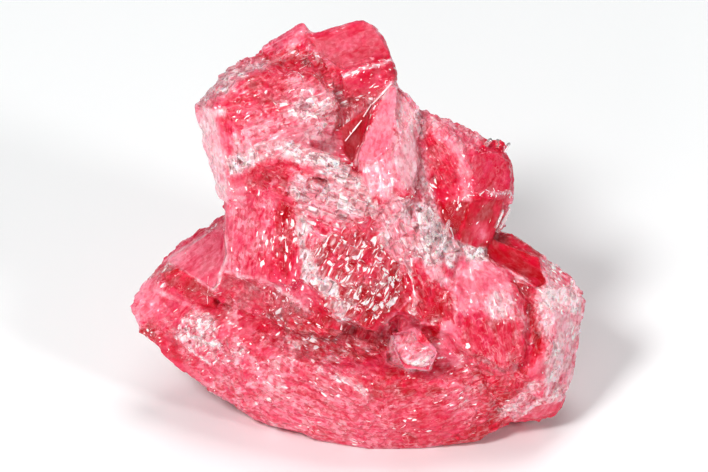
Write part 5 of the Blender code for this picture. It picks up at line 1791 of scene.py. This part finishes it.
@dataclass(frozen=True)
class SliverFinish:
    """Pale cleavage edges that partly stand in as painted highlights, or near-black painted shadow in a gap.
    """

    kind: SliverKind
    pale_edge_and_highlight_tints: tuple[Triple, Triple] = ((0.98, 0.80, 0.84), (1.0, 0.97, 0.96))
    gap_shadow_tints: tuple[Triple, Triple] = ((0.05, 0.01, 0.015), (0.02, 0.012, 0.014))

    def build(self) -> bpy.types.Material:
        """Make the material.

        Returns:
            The slivers' material.
        """
        material, sheet, shader = start_material(self.kind.value)
        place = sheet.place()
        first, second = self.gap_shadow_tints if self.kind is SliverKind.DARK else self.pale_edge_and_highlight_tints
        share = sheet.reach(sheet.noise(place, 1800.0, 2.0), 0.4, 0.6)
        sheet.feed(shader.inputs["Base Color"], sheet.mix(share, first, second))
        gloss = sheet.noise(place, 3000.0, 2.0)
        sheet.feed(shader.inputs["Roughness"], sheet.reach(gloss, 0.3, 0.7, 0.08, 0.4))
        return material


@dataclass(frozen=True)
class FloorFinish:
    """Plain pale floor."""

    colour: Triple = (0.93, 0.94, 0.94)
    roughness: float = 0.55

    def build(self) -> bpy.types.Material:
        """Make the material.

        Returns:
            The floor's material.
        """
        material, _, shader = start_material("pale_floor")
        shader.inputs["Base Color"].default_value = (*self.colour, 1.0)
        shader.inputs["Roughness"].default_value = self.roughness
        return material


@dataclass(frozen=True)
class SoftBox:
    """A square lamp: its place in metres, its side and its power."""

    name: str
    place: Triple
    side: float
    power: float


SOFT_BOXES: tuple[SoftBox, ...] = (
    SoftBox("key_box", (-0.17, -0.20, 0.34), 0.09, 0.94),
    SoftBox("top_box", (0.04, 0.10, 0.42), 0.16, 0.56),
    SoftBox("right_box", (0.28, -0.22, 0.26), 0.07, 0.36),
    SoftBox("low_box", (-0.10, -0.42, 0.07), 0.10, 0.44),
    SoftBox("back_box", (0.12, 0.42, 0.16), 0.2, 0.26),
)


@dataclass
class Studio:
    """Floor, soft lights and the camera at the photograph's angle."""

    distance: float = 0.36
    pixels_per_mm: float = PHOTO_SCALE * FRONT.scale
    frame_pixels: Pair = (708.0, 472.0)
    base_pixel: Pair = (355.0, 452.0)
    sensor: float = 36.0
    focus_out: float = 3.0
    floor_size: float = 3.0
    contrast_gamma: float = 0.77
    exposure: float = 0.09
    aim: Triple = (0.0, 0.0, 0.012)
    clip: Pair = (0.01, 20.0)
    room_colour: Triple = (0.97, 0.99, 1.0)
    room_strength: float = 0.19

    def build(self) -> None:
        """Set the stage."""
        self.floor()
        self.lights()
        self.camera()
        settings = bpy.context.scene.view_settings
        settings.view_transform = "Standard"
        settings.look = "None"
        settings.gamma = self.contrast_gamma
        settings.exposure = self.exposure
        LOG.info("studio: floor, lights and camera")

    def floor(self) -> None:
        """A wide pale plane under the stone."""
        bm = bmesh.new()
        bmesh.ops.create_grid(bm, x_segments=1, y_segments=1, size=self.floor_size / 2)
        mesh = bpy.data.meshes.new("floor")
        bm.to_mesh(mesh)
        bm.free()
        mesh.materials.append(FloorFinish().build())
        floor = bpy.data.objects.new("floor", mesh)
        bpy.context.scene.collection.objects.link(floor)

    def lights(self) -> None:
        """Light the stone with a dim white room and the soft boxes."""
        world = bpy.data.worlds.new("bright_room")
        world.use_nodes = True
        background = world.node_tree.nodes["Background"]
        background.inputs["Color"].default_value = (*self.room_colour, 1.0)
        background.inputs["Strength"].default_value = self.room_strength
        bpy.context.scene.world = world
        for box in SOFT_BOXES:
            data = bpy.data.lights.new(box.name, "AREA")
            data.shape = "SQUARE"
            data.size = box.side
            data.energy = box.power
            light = bpy.data.objects.new(box.name, data)
            light.location = box.place
            aim = Vector(self.aim) - Vector(box.place)
            light.rotation_euler = aim.to_track_quat("-Z", "Y").to_euler()
            bpy.context.scene.collection.objects.link(light)

    def camera(self) -> None:
        """Look down at the front as the photograph does."""
        data = bpy.data.cameras.new("photo_camera")
        data.sensor_width = self.sensor
        data.lens = self.sensor * self.distance / (self.frame_pixels[0] / self.pixels_per_mm * MM)
        data.clip_start, data.clip_end = self.clip
        across = (self.frame_pixels[0] / 2 - self.base_pixel[0]) / PHOTO_SCALE
        up = (self.base_pixel[1] - self.frame_pixels[1] / 2) / PHOTO_SCALE
        target = FRONT.place(across, up, self.focus_out)
        camera = bpy.data.objects.new("photo_camera", data)
        camera.location = target + FRONT.out * self.distance
        camera.rotation_euler = (-FRONT.out).to_track_quat("-Z", "Y").to_euler()
        bpy.context.scene.collection.objects.link(camera)
        bpy.context.scene.camera = camera


def main() -> None:
    """Build the stone, its flakes and the studio."""
    logging.basicConfig(level=logging.INFO, format="%(name)s %(message)s")
    glints = build_glint_group()
    stone = CrystalCluster().build()
    stone.data.materials.append(RhodoniteFinish(glints).build())
    flakes = CleavageFlakes().build(stone)
    flakes.data.materials.append(FlakeFinish().build())
    finder = SurfaceFinder(stone)
    for kind in SliverKind:
        slivers = EdgeSlivers(kind).build(finder)
        slivers.data.materials.append(SliverFinish(kind).build())
    shards = ClearShards().build(finder)
    shards.data.materials.append(ClearFinish().build())
    Studio().build()


if __name__ == "__main__":
    main()
